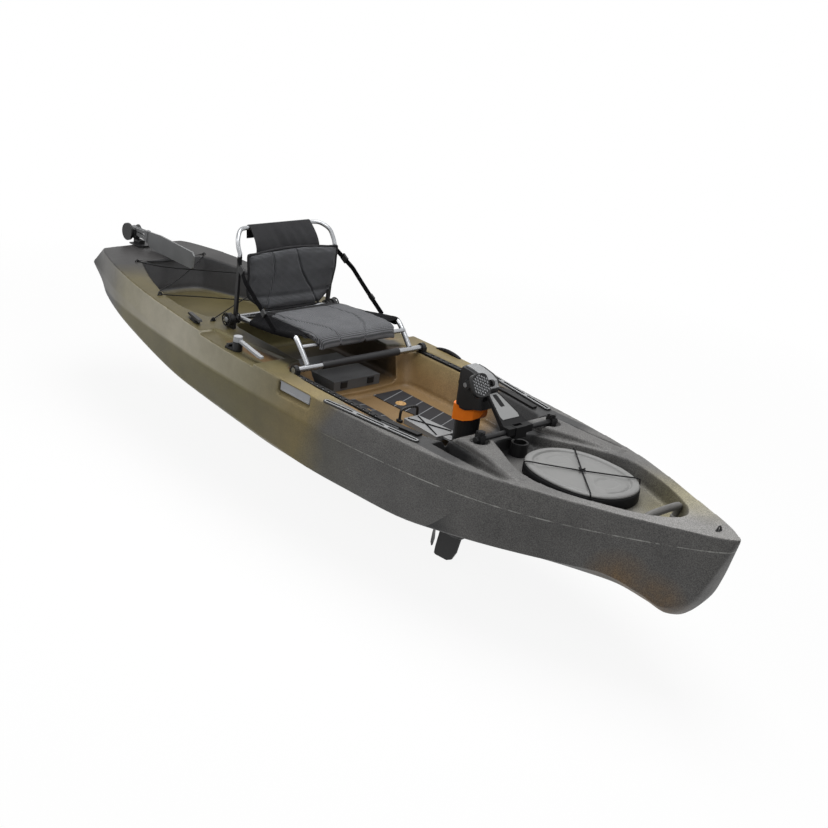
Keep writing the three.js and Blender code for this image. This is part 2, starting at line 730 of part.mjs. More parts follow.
function steeringLever() {
  const { x, y, tipX, tipZ, tip, armThick, armHalf, armBend } = steer;
  const bend = x + armBend;
  const arm = profile([[x, leverBase], [bend, leverBase], [tipX - tip.long, tipZ - tip.under],
    [tipX, tipZ - tip.under], [tipX, tipZ + tip.over], [tipX - tip.long, tipZ + tip.step],
    [bend, leverBase + armThick], [x, leverBase + armThick]], y - armHalf, y + armHalf);
  return joined(upright(steer.baseRadius - steer.hubInset, x, y, leverBase, leverBase + steer.leverThick), arm);
}

function steeringKnob() {
  const base = leverBase + steer.leverThick + seatGap;
  return upright(steer.knobRadius, steer.x, steer.y, base, base + steer.knobHigh);
}

// Rudder, folded forward over the stern
const rudder = {
  x: -1832 * stretch.x,
  deck: 396.3 * stretch.z,
  foldX: -1868 * stretch.x,
  foldZ: 454 * stretch.z,
  rootX: -1742 * stretch.x,
  tipX: -1339 * stretch.x,
  low: 397 * stretch.z,
  high: 486 * stretch.z,
  half: 4.5,
  post: 8,
  postGap: 0.3,
  pin: 7,
};
const bracket = { foreX: rudder.rootX, half: 44, plate: 6, neck: [50, 16, 2, 20], boss: 15, bossLow: 4, high: 26, aft: 4 };
const headSeat = rudder.deck + bracket.high + 2 * seatGap;

function rudderBracket() {
  const { foreX, half, plate, neck, boss, bossLow, high, aft } = bracket;
  const [neckLong, neckHalf, neckLow, neckHigh] = neck;
  const base = rudder.deck + seatGap;
  const body = joined(block(rudder.x + aft, foreX, -half, half, base, base + plate),
    block(rudder.x, rudder.x + neckLong, -neckHalf, neckHalf, base + neckLow, base + neckHigh),
    upright(boss, rudder.x, 0, base - bossLow, base + high, smallSides));
  return cut(body, upright(rudder.post + rudder.postGap, rudder.x, 0, 0, floors.top, smallSides));
}

const fork = {
  plate: [16, 26, 5],
  cheekY: 20,
  cheekHalf: 5,
  sink: 2,
  cheek: { fore: 16, top: [12, 12], nose: [8, 20], back: [16, 14], heel: [18, 12], foot: 12 },
  disc: [43, 24, 37],
  discDrop: 9,
  cap: [22, 27, 34],
  gap: [12, 14, 5.2],
};

function rudderHead() {
  const { x, foldX, foldZ, deck, post, pin } = rudder;
  const { plate, cheekY, cheekHalf, sink, cheek, disc, discDrop, cap, gap } = fork;
  const outline = [[x + cheek.fore, headSeat], [x + cheek.top[0], foldZ + cheek.top[1]],
    [foldX + cheek.nose[0], foldZ + cheek.nose[1]], [foldX - cheek.back[0], foldZ + cheek.back[1]],
    [foldX - cheek.heel[0], foldZ - cheek.heel[1]], [x - cheek.foot, headSeat]];
  const cheeks = Object.values(sides).map((side) => profile(outline, side * cheekY - cheekHalf,
    side * cheekY + cheekHalf));
  const body = joined(upright(post, x, 0, deck - sink, headSeat + 2 * sink, smallSides),
    block(x - plate[0], x + plate[0], -plate[1], plate[1], headSeat, headSeat + plate[2]), ...cheeks,
    crosswise(pin, foldX, foldZ, -disc[1], cap[1], smallSides),
    crosswise(disc[0], foldX, foldZ - discDrop, -disc[2], -disc[1]), crosswise(cap[0], foldX, foldZ, cap[1], cap[2]));
  return cut(body, block(x - gap[0], x + gap[0], -gap[1], gap[1], headSeat + gap[2], floors.top));
}

const bladeShape = {
  hub: [20, 14],
  barY: 8,
  barHalf: 4,
  yoke: { aft: 8, fore: 12, half: 12, high: 26 },
  bar: { low: 14, foreLow: 24, step: 12, throat: 22, rise: 10, foreHigh: 22, high: 16 },
  heel: [30, 40, 6, 120],
  tip: { long: 10, up: 8, nose: 4, drop: 24, shoulder: 12, ease: 8, back: 6 },
};

function rudderBlade() {
  const { foldX, foldZ, tipX, low, high, half, rootX, pin } = rudder;
  const { hub, barY, barHalf, yoke, bar, heel, tip } = bladeShape;
  const fore = rootX + yoke.fore;
  const barLine = [[foldX, foldZ - bar.low], [fore, foldZ - bar.foreLow], [fore, foldZ - bar.step],
    [foldX + bar.throat, foldZ], [fore, foldZ + bar.rise], [fore, foldZ + bar.foreHigh], [foldX, foldZ + bar.high]];
  const bars = Object.values(sides).map((side) => profile(barLine, side * barY - barHalf, side * barY + barHalf));
  const bladeLine = [[rootX, foldZ - heel[0]], [rootX + heel[1], low + heel[2]], [rootX + heel[3], low],
    [tipX - tip.long, low], [tipX, low + tip.up], [tipX + tip.nose, high - tip.drop],
    [tipX - tip.shoulder, high - tip.ease], [rootX + heel[3], high], [rootX + heel[0], high - tip.back],
    [rootX, foldZ + yoke.high]];
  const body = joined(crosswise(hub[0], foldX, foldZ, -hub[1], hub[1]),
    block(rootX - yoke.aft, fore, -yoke.half, yoke.half, foldZ - yoke.high, foldZ + yoke.high), ...bars,
    profile(bladeLine, -half, half));
  return cut(body, crosswise(pin + seatGap, foldX, foldZ, -overrun, overrun, smallSides));
}

// Pedal drive

const column = { aft: 488 * stretch.x, fore: 605 * stretch.x, half: 36, top: 377.2 * stretch.z, rise: 14, legAft: 4 };
const leg = { half: 21, bore: 5.8, shaftBore: 16, boreRise: 30 };
const gearcase = { z: -150 * stretch.z, radius: 30, wall: 4, behind: 93, ahead: 63, boreBehind: 75 };
const gearcaseShares = {
  outline: [[0, 0], [0.72, 0], [1, 0.16], [1, 0.7], [0.82, 0.88], [0.4, 0.98], [0, 1]],
  cavity: 0.745,
};
const skeg = {
  half: 4,
  root: 20,
  line: [[-91, -114], [-93, -142], [-85, -147], [-19, -144], [5, -131], [26, -92], [39, -30]],
  aft: -75,
  fore: 35,
};
const shaft = { radius: 5.5, bore: 5.8, pinion: 8.6, crown: 18.6, crownLow: 9.1, crownHigh: 14, low: 10 };
const propShaftSize = { radius: 4.6, bore: 4.9, pinion: 8.6, aft: -129, fore: -9, pinionAft: -23, pinionFore: -11 };

function gearcaseSolid() {
  const { z, radius, behind, ahead } = gearcase;
  const aft = crank.x - behind;
  const long = behind + ahead;
  const points = gearcaseShares.outline.map(([wide, along]) => [radius * wide, long * along]);
  return turned(points).rotate([0, 0, -90]).translate([aft, 0, z]);
}

function lowerUnit() {
  const { z, radius, wall, behind, ahead, boreBehind } = gearcase;
  const aft = crank.x - behind;
  const long = behind + ahead;
  const seam = floors.foot + column.rise;
  const fin = profile([[crank.x + skeg.aft, z - skeg.root], ...skeg.line.map(([a, b]) => [crank.x + a, z + b]),
    [crank.x + skeg.fore, z - skeg.root]], -skeg.half, skeg.half);
  const outside = joined(gearcaseSolid(), slab(oval(column.aft + column.legAft, column.fore, leg.half), z, seam), fin,
    slab(oval(column.aft, column.fore, column.half), seam, column.top));
  return cut(outside, lengthwise(radius - wall, 0, z, crank.x - boreBehind, aft + long * gearcaseShares.cavity),
    lengthwise(propShaftSize.bore, 0, z, aft - overrun, aft + long),
    upright(leg.bore, crank.x, 0, z, floors.top, smallSides),
    upright(leg.shaftBore, crank.x, 0, floors.foot + leg.boreRise, floors.top, smallSides));
}

const head = { half: 44, wall: 5, capHalf: 27, planSides: 36, spindleBore: 9.9, neck: 450 * stretch.z };
const headPlan = { aft: 486 * stretch.x, fore: 672 * stretch.x, extra: 12, inset: 6, innerExtra: 4 };
const headPoints = fromSide([[504, 387], [502, 430], [503, 500], [511, 530], [528, 543], [560, 541], [610, 531],
  [640, 517], [652, 496], [651, 470], [642, 440], [646, 404], [604, 395], [560, 377.5], [536, 377.5], [530, 387]]);

function headCasing() {
  const { aft, fore, extra, inset, innerExtra } = headPlan;
  const { half, wall } = head;
  const outer = profile(headPoints, -half, half).intersect(slab(oval(aft, fore, half + extra, 0, head.planSides), 0,
    aboveAll));
  const cavity = profile(grown(headPoints, -wall), -half + wall, half - wall)
    .intersect(slab(oval(aft + inset, fore - inset, half + innerExtra), 0, aboveAll));
  return cut(outer, cavity, crosswise(head.spindleBore, crank.x, crank.z, -farOut, farOut),
    upright(leg.shaftBore, crank.x, 0, 0, head.neck, smallSides));
}

const capTop = fromSide([[496.5, 500], [506, 535], [525, 548.5], [560, 546], [612, 536], [644, 521], [660, 497]]);
const capUnder = fromSide([[656.4, 491], [641.6, 512.4], [610.8, 526.2], [560.2, 536], [530, 538], [515, 526],
  [504.5, 494]]);

function headCap() {
  const strip = profile([...capTop, ...capUnder], -head.capHalf, head.capHalf);
  return cut(strip, profile(grown(headPoints, seatGap), -farOut, farOut));
}

const bandSide = fromSide([[491, 316], [481, 384], [528, 384], [533, 374.5], [560, 374.5], [604, 392], [641, 400], [624, 364], [600, 346],
  [560, 330]]);
const bandHalfPlan = [[481, 12], [487, 26], [497, 37], [560, 40.5], [604, 34], [632, 14]];
const bandNose = 642;

function orangeBand() {
  const port = bandHalfPlan.map(([x, y]) => [x * stretch.x, y]);
  const starboard = port.map(([x, y]) => [x, -y]);
  const plan = slab([...starboard, [bandNose * stretch.x, 0], ...port.reverse()], 0, floors.top);
  const around = slab(oval(column.aft, column.fore, column.half, seatGap), 0, floors.top);
  return cut(profile(bandSide, -head.half, head.half).intersect(plan), around);
}

const brace = {
  ends: [
    { x: 655 * stretch.x, z: 476 * stretch.z, half: 29, cheekShare: 0.5 },
    { x: 792 * stretch.x, z: 398 * stretch.z, half: 66, cheekShare: 1 },
  ],
  thick: 9,
  side: 10,
  deep: 30,
  step: 1,
  low: { aft: 24, fore: 22, under: 8, over: 21 },
  core: { long: 26, half: 30, under: 24, over: 22 },
  window: [[14, -8], [62, -36]],
  windowHalf: 11,
  slot: [9, 22, 1],
};

function braceSolid() {
  const { ends, thick, side: cheekWide, deep, step, low, core, window: opening, windowHalf, slot } = brace;
  const plate = loft(ends.map(({ x, z, half }) => [[x, -half, z - thick], [x, half, z - thick], [x, half, z],
    [x, -half, z]]));
  const cheeks = Object.values(sides).map((side) => loft(ends.map(({ x, z, half, cheekShare }) => {
    const [inner, outer, under] = [side * (half - cheekWide), side * half, z - deep * cheekShare];
    return [[x, inner, under], [x, outer, under], [x, outer, z - step], [x, inner, z - step]];
  })));
  const lowBlock = block(pivot.x - low.aft, pivot.x + low.fore, -ends[1].half, ends[1].half, pivot.z - low.under,
    pivot.z + low.over);
  const middle = block(pivot.x - core.long, pivot.x + core.long, -core.half, core.half, pivot.z - core.under,
    pivot.z + core.over);
  const hole = loft(opening.map(([dx, dz]) => {
    const [x, z] = [ends[0].x + dx, ends[0].z + dz];
    return [[x, -windowHalf, z - overrun], [x, windowHalf, z - overrun], [x, windowHalf, z + overrun],
      [x, -windowHalf, z + overrun]];
  }));
  const catchSlot = block(pivot.x - slot[0], pivot.x + slot[0], -slot[1], slot[1],
    pivot.z + pivot.barRadius + slot[2], floors.top);
  return cut(joined(plate, ...cheeks, lowBlock, middle), hole, catchSlot,
    crosswise(pivot.barRadius + seatGap, pivot.x, pivot.z, -farOut, farOut),
    profile(grown(headPoints, seatGap), -head.half, head.half));
}

const cover = {
  aft: 237 * stretch.x,
  aftHalf: 40,
  foreHalf: 54,
  length: 209 * stretch.x,
  rise: 22,
  thick: 5,
  skirtInset: 1.5,
  skirtStep: 1,
  tongue: [6, 18, 12, 4],
};
const coverFore = cover.aft + cover.length;
const coverTop = floors.foot + cover.rise;

function wellCover() {
  const { aft, aftHalf, foreHalf, thick, skirtInset, skirtStep, tongue } = cover;
  const outline = [[aft, -aftHalf], [coverFore, -foreHalf], [coverFore, foreHalf], [aft, aftHalf]];
  const skirt = slab(grown(outline, -skirtInset), floors.foot + seatGap, coverTop - skirtStep);
  const link = block(coverFore - tongue[0], column.aft - seatGap, -tongue[1], tongue[1], coverTop - tongue[2],
    coverTop - tongue[3]);
  return cut(joined(slab(outline, coverTop - thick, coverTop), skirt, link),
    slab(grown(outline, -thick), 0, coverTop - thick));
}

const grip = {
  x: 222 * stretch.x,
  line: [[48, 6.3], [47, 42], [37, 55]],
  crown: 59,
  radius: 5.5,
  sides: 8,
  steps: 18,
  foot: { aft: 14, overlap: 1, y: 44, half: 7, high: 14 },
};

function coverHandle() {
  const { x, line, crown, radius, foot } = grip;
  const port = line.map(([y, rise]) => [x, y, floors.foot + rise]);
  const starboard = port.map(([a, b, c]) => [a, -b, c]);
  const arch = tube([...starboard, [x, 0, floors.foot + crown], ...port.reverse()], radius, grip.sides, grip.steps);
  const feet = Object.values(sides).map((side) => block(x - foot.aft, cover.aft - foot.overlap,
    side * foot.y - foot.half, side * foot.y + foot.half, floors.foot + seatGap, floors.foot + foot.high));
  return joined(arch, ...feet);
}

const coverCord = { radius: 1.8, rise: 2, sides: 8, steps: 4, aftIn: 12, foreIn: 14, aftHalf: 28, foreHalf: 42 };

function coverBungee() {
  const { radius, rise, aftIn, foreIn, aftHalf, foreHalf } = coverCord;
  const z = coverTop + seatGap + rise;
  const runs = Object.values(sides).map((side) => tube([[cover.aft + aftIn, side * aftHalf, z],
    [coverFore - foreIn, -side * foreHalf, z]], radius, coverCord.sides, coverCord.steps));
  return joined(...runs);
}

const spindle = { radius: 9.6, half: 62, crown: 34, crownFrom: 9.1, crownTo: 17 };

function crankSpindle() {
  const { radius, half, crown, crownFrom, crownTo } = spindle;
  return joined(crosswise(radius, crank.x, crank.z, -half, half),
    crosswise(crown, crank.x, crank.z, crownFrom, crownTo));
}

const arm = { inner: 48, thick: 12, hub: 19, eye: 14, pinRadius: 6, hubWeb: 15, eyeWeb: 11, pinShort: 6 };
const pedal = { inner: 72, wide: 88, long: 92, thick: 20, lean: 30, corner: 5, ribs: 5, groove: 2.5, edge: 6 };

function crankEnd(side) {
  const angle = THREE.MathUtils.degToRad(crank.lean + (side < 0 ? 0 : 180));
  return [crank.x + crank.length * Math.cos(angle), crank.z + crank.length * Math.sin(angle), angle];
}

function crankArm(side) {
  const [ex, ez, angle] = crankEnd(side);
  const { inner, thick, hub, eye: eyeRadius, pinRadius, hubWeb, eyeWeb, pinShort } = arm;
  const [y0, y1] = [inner, inner + thick];
  const [ax, az] = [-Math.sin(angle), Math.cos(angle)];
  const web = profile([[crank.x + ax * hubWeb, crank.z + az * hubWeb], [ex + ax * eyeWeb, ez + az * eyeWeb],
    [ex - ax * eyeWeb, ez - az * eyeWeb], [crank.x - ax * hubWeb, crank.z - az * hubWeb]], y0, y1);
  const pin = crosswise(pinRadius, ex, ez, y0, pedal.inner + pedal.wide - pinShort, smallSides);
  const solid = cut(joined(web, crosswise(hub, crank.x, crank.z, y0, y1), crosswise(eyeRadius, ex, ez, y0, y1), pin),
    crosswise(spindle.radius + seatGap, crank.x, crank.z, 0, farOut));
  return onSide(solid, side);
}

function pedalBody(side) {
  const [ex, ez] = crankEnd(side);
  const { inner, wide, long, thick, lean, corner, ribs, groove, edge } = pedal;
  let solid = slab(chamfered(thick / 2, long / 2, corner), 0, wide).rotate([90, 0, 0])
    .translate([0, inner + wide, 0]);
  for (let i = 1; i < ribs; i += 1) {
    const z = -long / 2 + (long * i) / ribs;
    for (const face of [-1, 1]) {
      const depths = [face * (thick / 2 - groove), face * thick];
      solid = cut(solid, block(Math.min(...depths), Math.max(...depths), inner + edge, inner + wide - edge,
        z - groove, z + groove));
    }
  }
  const placed = solid.rotate([0, -lean, 0]).translate([ex, 0, ez]);
  return onSide(cut(placed, crosswise(arm.pinRadius + seatGap, ex, ez, 0, farOut, smallSides)), side);
}

function driveShaft() {
  const { z } = gearcase;
  const top = crank.z - arm.inner / 3;
  return joined(upright(shaft.radius, crank.x, 0, z + shaft.low, top, smallSides),
    upright(shaft.pinion, crank.x, 0, crank.z - spindle.crown, top, smallSides),
    upright(shaft.crown, crank.x, 0, z + shaft.crownLow, z + shaft.crownHigh));
}

function propShaft() {
  const { radius, pinion, aft, fore, pinionAft, pinionFore } = propShaftSize;
  return joined(lengthwise(radius, 0, gearcase.z, crank.x + aft, crank.x + fore, smallSides),
    lengthwise(pinion, 0, gearcase.z, crank.x + pinionAft, crank.x + pinionFore, smallSides));
}

const prop = { aft: -131, fore: -95, hub: 20, tailShare: 0.7, tail: 12, radius: 118, pitch: 35, thick: 2, sweepShare: 0.7 };
const bladeRows = [[10, 14, 18], [55, 24, 0], [95, 22, -8], [118, 8, -12]];

function propeller() {
  const { hub, tail, tailShare, pitch, thick, sweepShare } = prop;
  const [aft, fore] = [crank.x + prop.aft, crank.x + prop.fore];
  const middle = (aft + fore) / 2;
  const blades = Object.values(sides).map((side) => loft(bladeRows.map(([reach, half, twist]) => {
    const angle = THREE.MathUtils.degToRad(pitch + twist) * side;
    const [dx, dy] = [Math.sin(angle) * sweepShare * half, Math.cos(angle) * half];
    const z = side * reach;
    return [[middle - dx, -dy, z], [middle + thick, 0, z], [middle + dx, dy, z], [middle - thick, 0, z]];
  })));
  const boss = turned([[0, -fore], [hub, -fore], [hub, -aft - tail], [hub * tailShare, -aft], [0, -aft]])
    .rotate([0, 0, 90]);
  return cut(joined(boss, ...blades), lengthwise(propShaftSize.bore, 0, 0, 0, 2 * fore, smallSides))
    .translate([0, 0, gearcase.z]);
}

// Bow lid with its crossed bungee

function bowLid() {
  const { x, halfLong, halfWide, top, bottom, plate, wall, chamfer, count, panel } = lid;
  const [inset, drop] = chamfer;
  const rim = ellipse(x, halfLong, halfWide, count);
  const crown = ellipse(x, halfLong - inset, halfWide - inset, count);
  const outer = joined(slab(rim, bottom, top - drop + 1),
    loft([rim.map(([a, b]) => [a, b, top - drop]), crown.map(([a, b]) => [a, b, top])]));
  const inner = slab(ellipse(x, halfLong - wall, halfWide - wall, count), bottom - overrun, top - plate);
  const recesses = Object.values(sides).map((end) => slab(ellipse(x + end * halfLong * panel.placeShare,
    halfLong * panel.longShare, halfWide * panel.wideShare, panel.count), top - panel.depth, floors.top));
  return cut(outer, inner, ...recesses);
}

const lidCord = { radius: 2.6, lift: 0.6, drop: [158, 142], edge: [144, 128], low: 8, shoulder: 12, knot: 9, knotHigh: 6, steps: 22 };

function lidBungee() {
  const { x, top, bottom } = lid;
  const { radius, lift, drop, edge, low, shoulder, knot: knotRadius, knotHigh } = lidCord;
  const over = top + seatGap + radius + lift;
  const runs = Object.values(sides).map((side) => {
    const [dx, dy] = [drop[0] * stretch.x, side * drop[1] * stretch.y];
    const [ex, ey] = [edge[0] * stretch.x, side * edge[1] * stretch.y];
    return tube([[x - dx, -dy, bottom + low], [x - dx, -dy, top - shoulder], [x - ex, -ey, over], [x, 0, over],
      [x + ex, ey, over], [x + dx, dy, top - shoulder], [x + dx, dy, bottom + low]], radius, cordSides, lidCord.steps);
  });
  return joined(...runs, upright(knotRadius, x, 0, over - radius, over + knotHigh, smallSides));
}

// Side carry handles
const sideGrip = { inset: 8, off: 16, thick: 8, low: 38, high: 2, pin: 4, pinDrop: 6, roll: 6, rollDrop: 36, rollInset: 12 };

function carryHandle(side) {
  const { aft, fore, high } = sideHandle;
  const { inset, off, thick, low, pin, pinDrop, roll, rollDrop, rollInset } = sideGrip;
  const y0 = handleWall + off;
  const middle = y0 + thick / 2;
  const plate = joined(block(aft + inset, fore - inset, y0, y0 + thick, high - low, high - sideGrip.high),
    lengthwise(pin, middle, high - pinDrop, aft + seatGap, fore - seatGap, smallSides),
    lengthwise(roll, middle, high - rollDrop, aft + rollInset, fore - rollInset, smallSides));
  return onSide(plate, side);
}

// Seat
const bar = { x: -101 * stretch.x, z: 361 * stretch.z, radius: 13, half: 362 * stretch.y, sleeveHalf: 214 * stretch.y, sleeve: 3 };
const post = { x: -188 * stretch.x, z: 459 * stretch.z, y: 284 * stretch.y, radius: 11.5, sides: 10, steps: 18 };
const seatRear = { x: -645 * stretch.x, z: 401 * stretch.z, tubeHalf: 290 * stretch.y, ringY: 257 * stretch.y, footY: 275 * stretch.y };
const sideTubeLine = inSpace([[-109, 284, 369], [-166, 284, 433], [-204, 284, 461], [-258, 284, 455], [-345, 282.2, 441.3],
  [-525, 248, 413], [-641, 236, 401]]);
const crossTubes = { places: inSpace([[-154, 284, 433], [-480, 256, 416]]), radius: 9.7 };

function frontBar() {
  const { x, z, radius, half, sleeveHalf, sleeve } = bar;
  return joined(crosswise(radius, x, z, -half, half, smallSides),
    crosswise(radius + sleeve, x, z, -sleeveHalf, sleeveHalf, smallSides));
}

const shoe = { halfLong: 22, halfWide: 11, rise: 6, eye: 7, eyeLift: 1, eyeHalf: 9 };

function railShoe(side) {
  const { halfLong, halfWide, rise, eye: eyeWall, eyeLift, eyeHalf } = shoe;
  const base = floors.ledge + rail.thick + 2 * seatGap;
  const y = side * (rail.inner + rail.wide / 2);
  const solid = joined(block(bar.x - halfLong, bar.x + halfLong, y - halfWide, y + halfWide, base, bar.z + rise),
    crosswise(bar.radius + eyeWall, bar.x, bar.z + eyeLift, y - eyeHalf, y + eyeHalf, smallSides));
  return cut(solid, crosswise(bar.radius + seatGap, bar.x, bar.z, -halfBeam, halfBeam, smallSides),
    block(bar.x - 2 * overrun, bar.x + 2 * overrun, y - overrun, y + overrun, 0, base));
}

function seatFrame() {
  const rods = Object.values(sides).map((side) => tube(sideTubeLine.map(([x, y, z]) => [x, side * y, z]),
    post.radius, post.sides, post.steps));
  const rungs = crossTubes.places.map(([x, y, z]) => crosswise(crossTubes.radius, x, z, -y, y, smallSides));
  const rear = crosswise(bar.radius, seatRear.x, seatRear.z, -seatRear.tubeHalf, seatRear.tubeHalf, smallSides);
  return cut(joined(...rods, rear, ...rungs),
    crosswise(bar.radius + seatGap, bar.x, bar.z, -halfBeam, halfBeam, smallSides));
}

const hub = { halfLong: 24, half: 7, ring: 19, disc: 27, discFrom: 6, axle: 11, axleOut: 11, behind: 20 };

function rearHub(side) {
  const { x, z, tubeHalf, footY } = seatRear;
  const { halfLong, half, ring, disc, discFrom, axle, axleOut, behind } = hub;
  const [inner, outer] = [footY - half, footY + half];
  const solid = joined(block(x - halfLong, x + halfLong, inner, outer, gunwaleHeight(x - behind) + seatGap, z),
    crosswise(ring, x, z, inner, outer), crosswise(disc, x, z, footY + discFrom, tubeHalf + half),
    crosswise(axle, x, z, footY, tubeHalf + axleOut, smallSides));
  const bore = crosswise(bar.radius + seatGap, x, z, -halfBeam, tubeHalf + seatGap, smallSides);
  return onSide(cut(solid, bore), side);
}

const cushion = {
  side: fromSide([[-545, 421], [-545, 456], [-455, 472], [-182, 478], [-138, 470], [-122, 452], [-122, 417],
    [-136, 417], [-139, 443], [-202, 443], [-425, 431]]),
  plan: mirrorHalf(inPlan([[-545, 200], [-152, 226], [-122, 200]])),
  half: 226 * stretch.y,
};

function seatPad() {
  return profile(cushion.side, -cushion.half, cushion.half).intersect(slab(cushion.plan, 0, aboveAll));
}

// Back pad sections, from low to high: x, z, half width, thickness and the rise of the middle
const backRows = [[-579, 429, 158, 14, 0], [-588, 462, 196, 20, 0], [-600, 492, 238, 30, 0],
  [-606, 628, 246.6, 30, 6], [-614, 680, 252.6, 24, 18]];
const backShape = { edge: 6, crown: 3, midRiseShare: 0.7 };

function backRest() {
  const { edge, crown, midRiseShare } = backShape;
  return loft(backRows.map(([along, high, wide, thick, rise]) => {
    const [x, z, half] = [along * stretch.x, high * stretch.z, wide * stretch.y];
    const [rear, side, part] = [x - thick, x - edge, z + rise * midRiseShare];
    return [[rear, -half, z], [rear, 0, z + rise], [rear, half, z], [side, half, z], [x, half / 2, part],
      [x + crown, 0, z + rise], [x, -half / 2, part], [side, -half, z]];
  }));
}

const flap = { rows: [[-634, 700.2, 174], [-672, 745, 162], [-700, 786, 160]], thick: 6, slant: 3 };

function headFlap() {
  const { rows, thick, slant } = flap;
  return loft(rows.map(([along, high, wide]) => {
    const [x, z, half] = [along * stretch.x, high * stretch.z, wide * stretch.y];
    return [[x - thick, -half, z - slant], [x - thick, half, z - slant], [x, half, z + slant],
      [x, -half, z + slant]];
  }));
}

const hoop = {
  line: inSpace([[-640, 262, 678.4], [-640, 262, 686], [-656, 262, 706], [-682, 246, 758], [-712, 200, 780],
    [-722, 150, 775]]),
  radius: 9.3,
  sides: 10,
  steps: 34,
};

function backHoop() {
  const port = hoop.line;
  const starboard = port.map(([x, y, z]) => [x, -y, z]);
  const [x, , z] = port[port.length - 1];
  return tube([...starboard, [x, 0, z], ...[...port].reverse()], hoop.radius, hoop.sides, hoop.steps);
}

const uprights = {
  ring: 20,
  half: 6,
  halfLong: 9,
  line: [[-645, 257, 409], [-643, 260, 560], [-640, 262, 678]],
};

function backUpright(side) {
  const { ring, half, halfLong } = uprights;
  const { x, z, ringY } = seatRear;
  const riser = loft(inSpace(uprights.line).map(([a, b, c]) => [[a - halfLong, b - half, c],
    [a + halfLong, b - half, c], [a + halfLong, b + half, c], [a - halfLong, b + half, c]]));
  const body = joined(crosswise(ring, x, z, ringY - half, ringY + half), riser);
  const bore = crosswise(boreRadius(bar.radius, smallSides), x, z, -halfBeam, halfBeam, smallSides);
  return onSide(cut(body, bore), side);
}

const strap = { line: fromSide([[-640, 654], [-470, 552], [-318, 450]]), half: 12, thick: 2.4 };

function tensionStrap(side) {
  const { line, half, thick } = strap;
  const y = post.y + post.radius + seatGap + thick / 2;
  const solid = loft(line.map(([x, z], i) => {
    const next = line[Math.min(i + 1, line.length - 1)];
    const prior = line[Math.max(i - 1, 0)];
    const along = new THREE.Vector2(next[0] - prior[0], next[1] - prior[1]).normalize();
    const [dx, dz] = [-along.y * half, along.x * half];
    return [[x - dx, y - thick / 2, z - dz], [x + dx, y - thick / 2, z + dz], [x + dx, y + thick / 2, z + dz],
      [x - dx, y + thick / 2, z - dz]];
  }));
  return onSide(solid, side);
}

// Tackle box under the seat
const box = {
  rear: -400 * stretch.x,
  fore: -108 * stretch.x,
  half: 128 * stretch.y,
  low: floors.tray + 2 * seatGap,
  split: 258 * stretch.z,
  top: 270 * stretch.z,
  wall: 2.5,
  open: 1,
};

function boxTray() {
  const { rear, fore, half, low, split, wall } = box;
  return cut(block(rear, fore, -half, half, low, split),
    block(rear + wall, fore - wall, -half + wall, half - wall, low + wall, split + overrun));
}

function boxLid() {
  const { rear, fore, half, split, top, wall, open } = box;
  const base = split + seatGap;
  return cut(block(rear, fore, -half, half, base, top),
    block(rear + wall, fore - wall, -half + wall, half - wall, base - open, top - wall));
}

const latch = { y: 74 * stretch.y, half: 17, thick: 4, low: 20, high: 7, roll: 3, rollUp: 6, count: 10 };

function boxLatch(side) {
  const { half, thick, low, high, roll, rollUp, count } = latch;
  const y = side * latch.y;
  const x = box.fore + seatGap;
  return joined(block(x, x + thick, y - half, y + half, box.split - low, box.split + high),
    crosswise(roll, x + roll, box.split + rollUp, y - half, y + half, count));
}

// The tankwell cord runs through its six loops. Each leg: its two loops, then shares along it with their rise
const cordLegs = [
  [[2, -1], [1, 1], [[0.25, 3], [0.5, 5], [0.75, 3]]],
  [[1, 1], [0, -1], [[0.25, 3], [0.5, -4], [0.8, -12]]],
  [[0, -1], [0, 1], [[0.25, -12], [0.5, -17], [0.75, -12]]],
  [[0, 1], [1, -1], [[0.2, -16], [0.5, -15], [0.75, -5]]],
  [[1, -1], [2, 1], [[0.25, -3], [0.5, -5], [0.75, -3]]],
];
const cordSteps = 46;

function tankBungee(radius) {
  const loopAt = ([row, side]) => {
    const [x, y] = tankEyes[row];
    return [x, side * y, deckHeight(x, y) + cord.overEye];
  };
  const points = cordLegs.flatMap(([from, to, spots]) => {
    const [u, v] = [loopAt(from), loopAt(to)];
    const along = spots.map(([share, rise]) => [0, 1, 2].map((k) => u[k] + (v[k] - u[k]) * share
      + (k === 2 ? rise : 0)));
    return [u, ...along];
  });
  const lastLoop = cordLegs[cordLegs.length - 1][1];
  return tube([...points, loopAt(lastLoop)], radius, cordSides, cordSteps);
}

// The whole boat

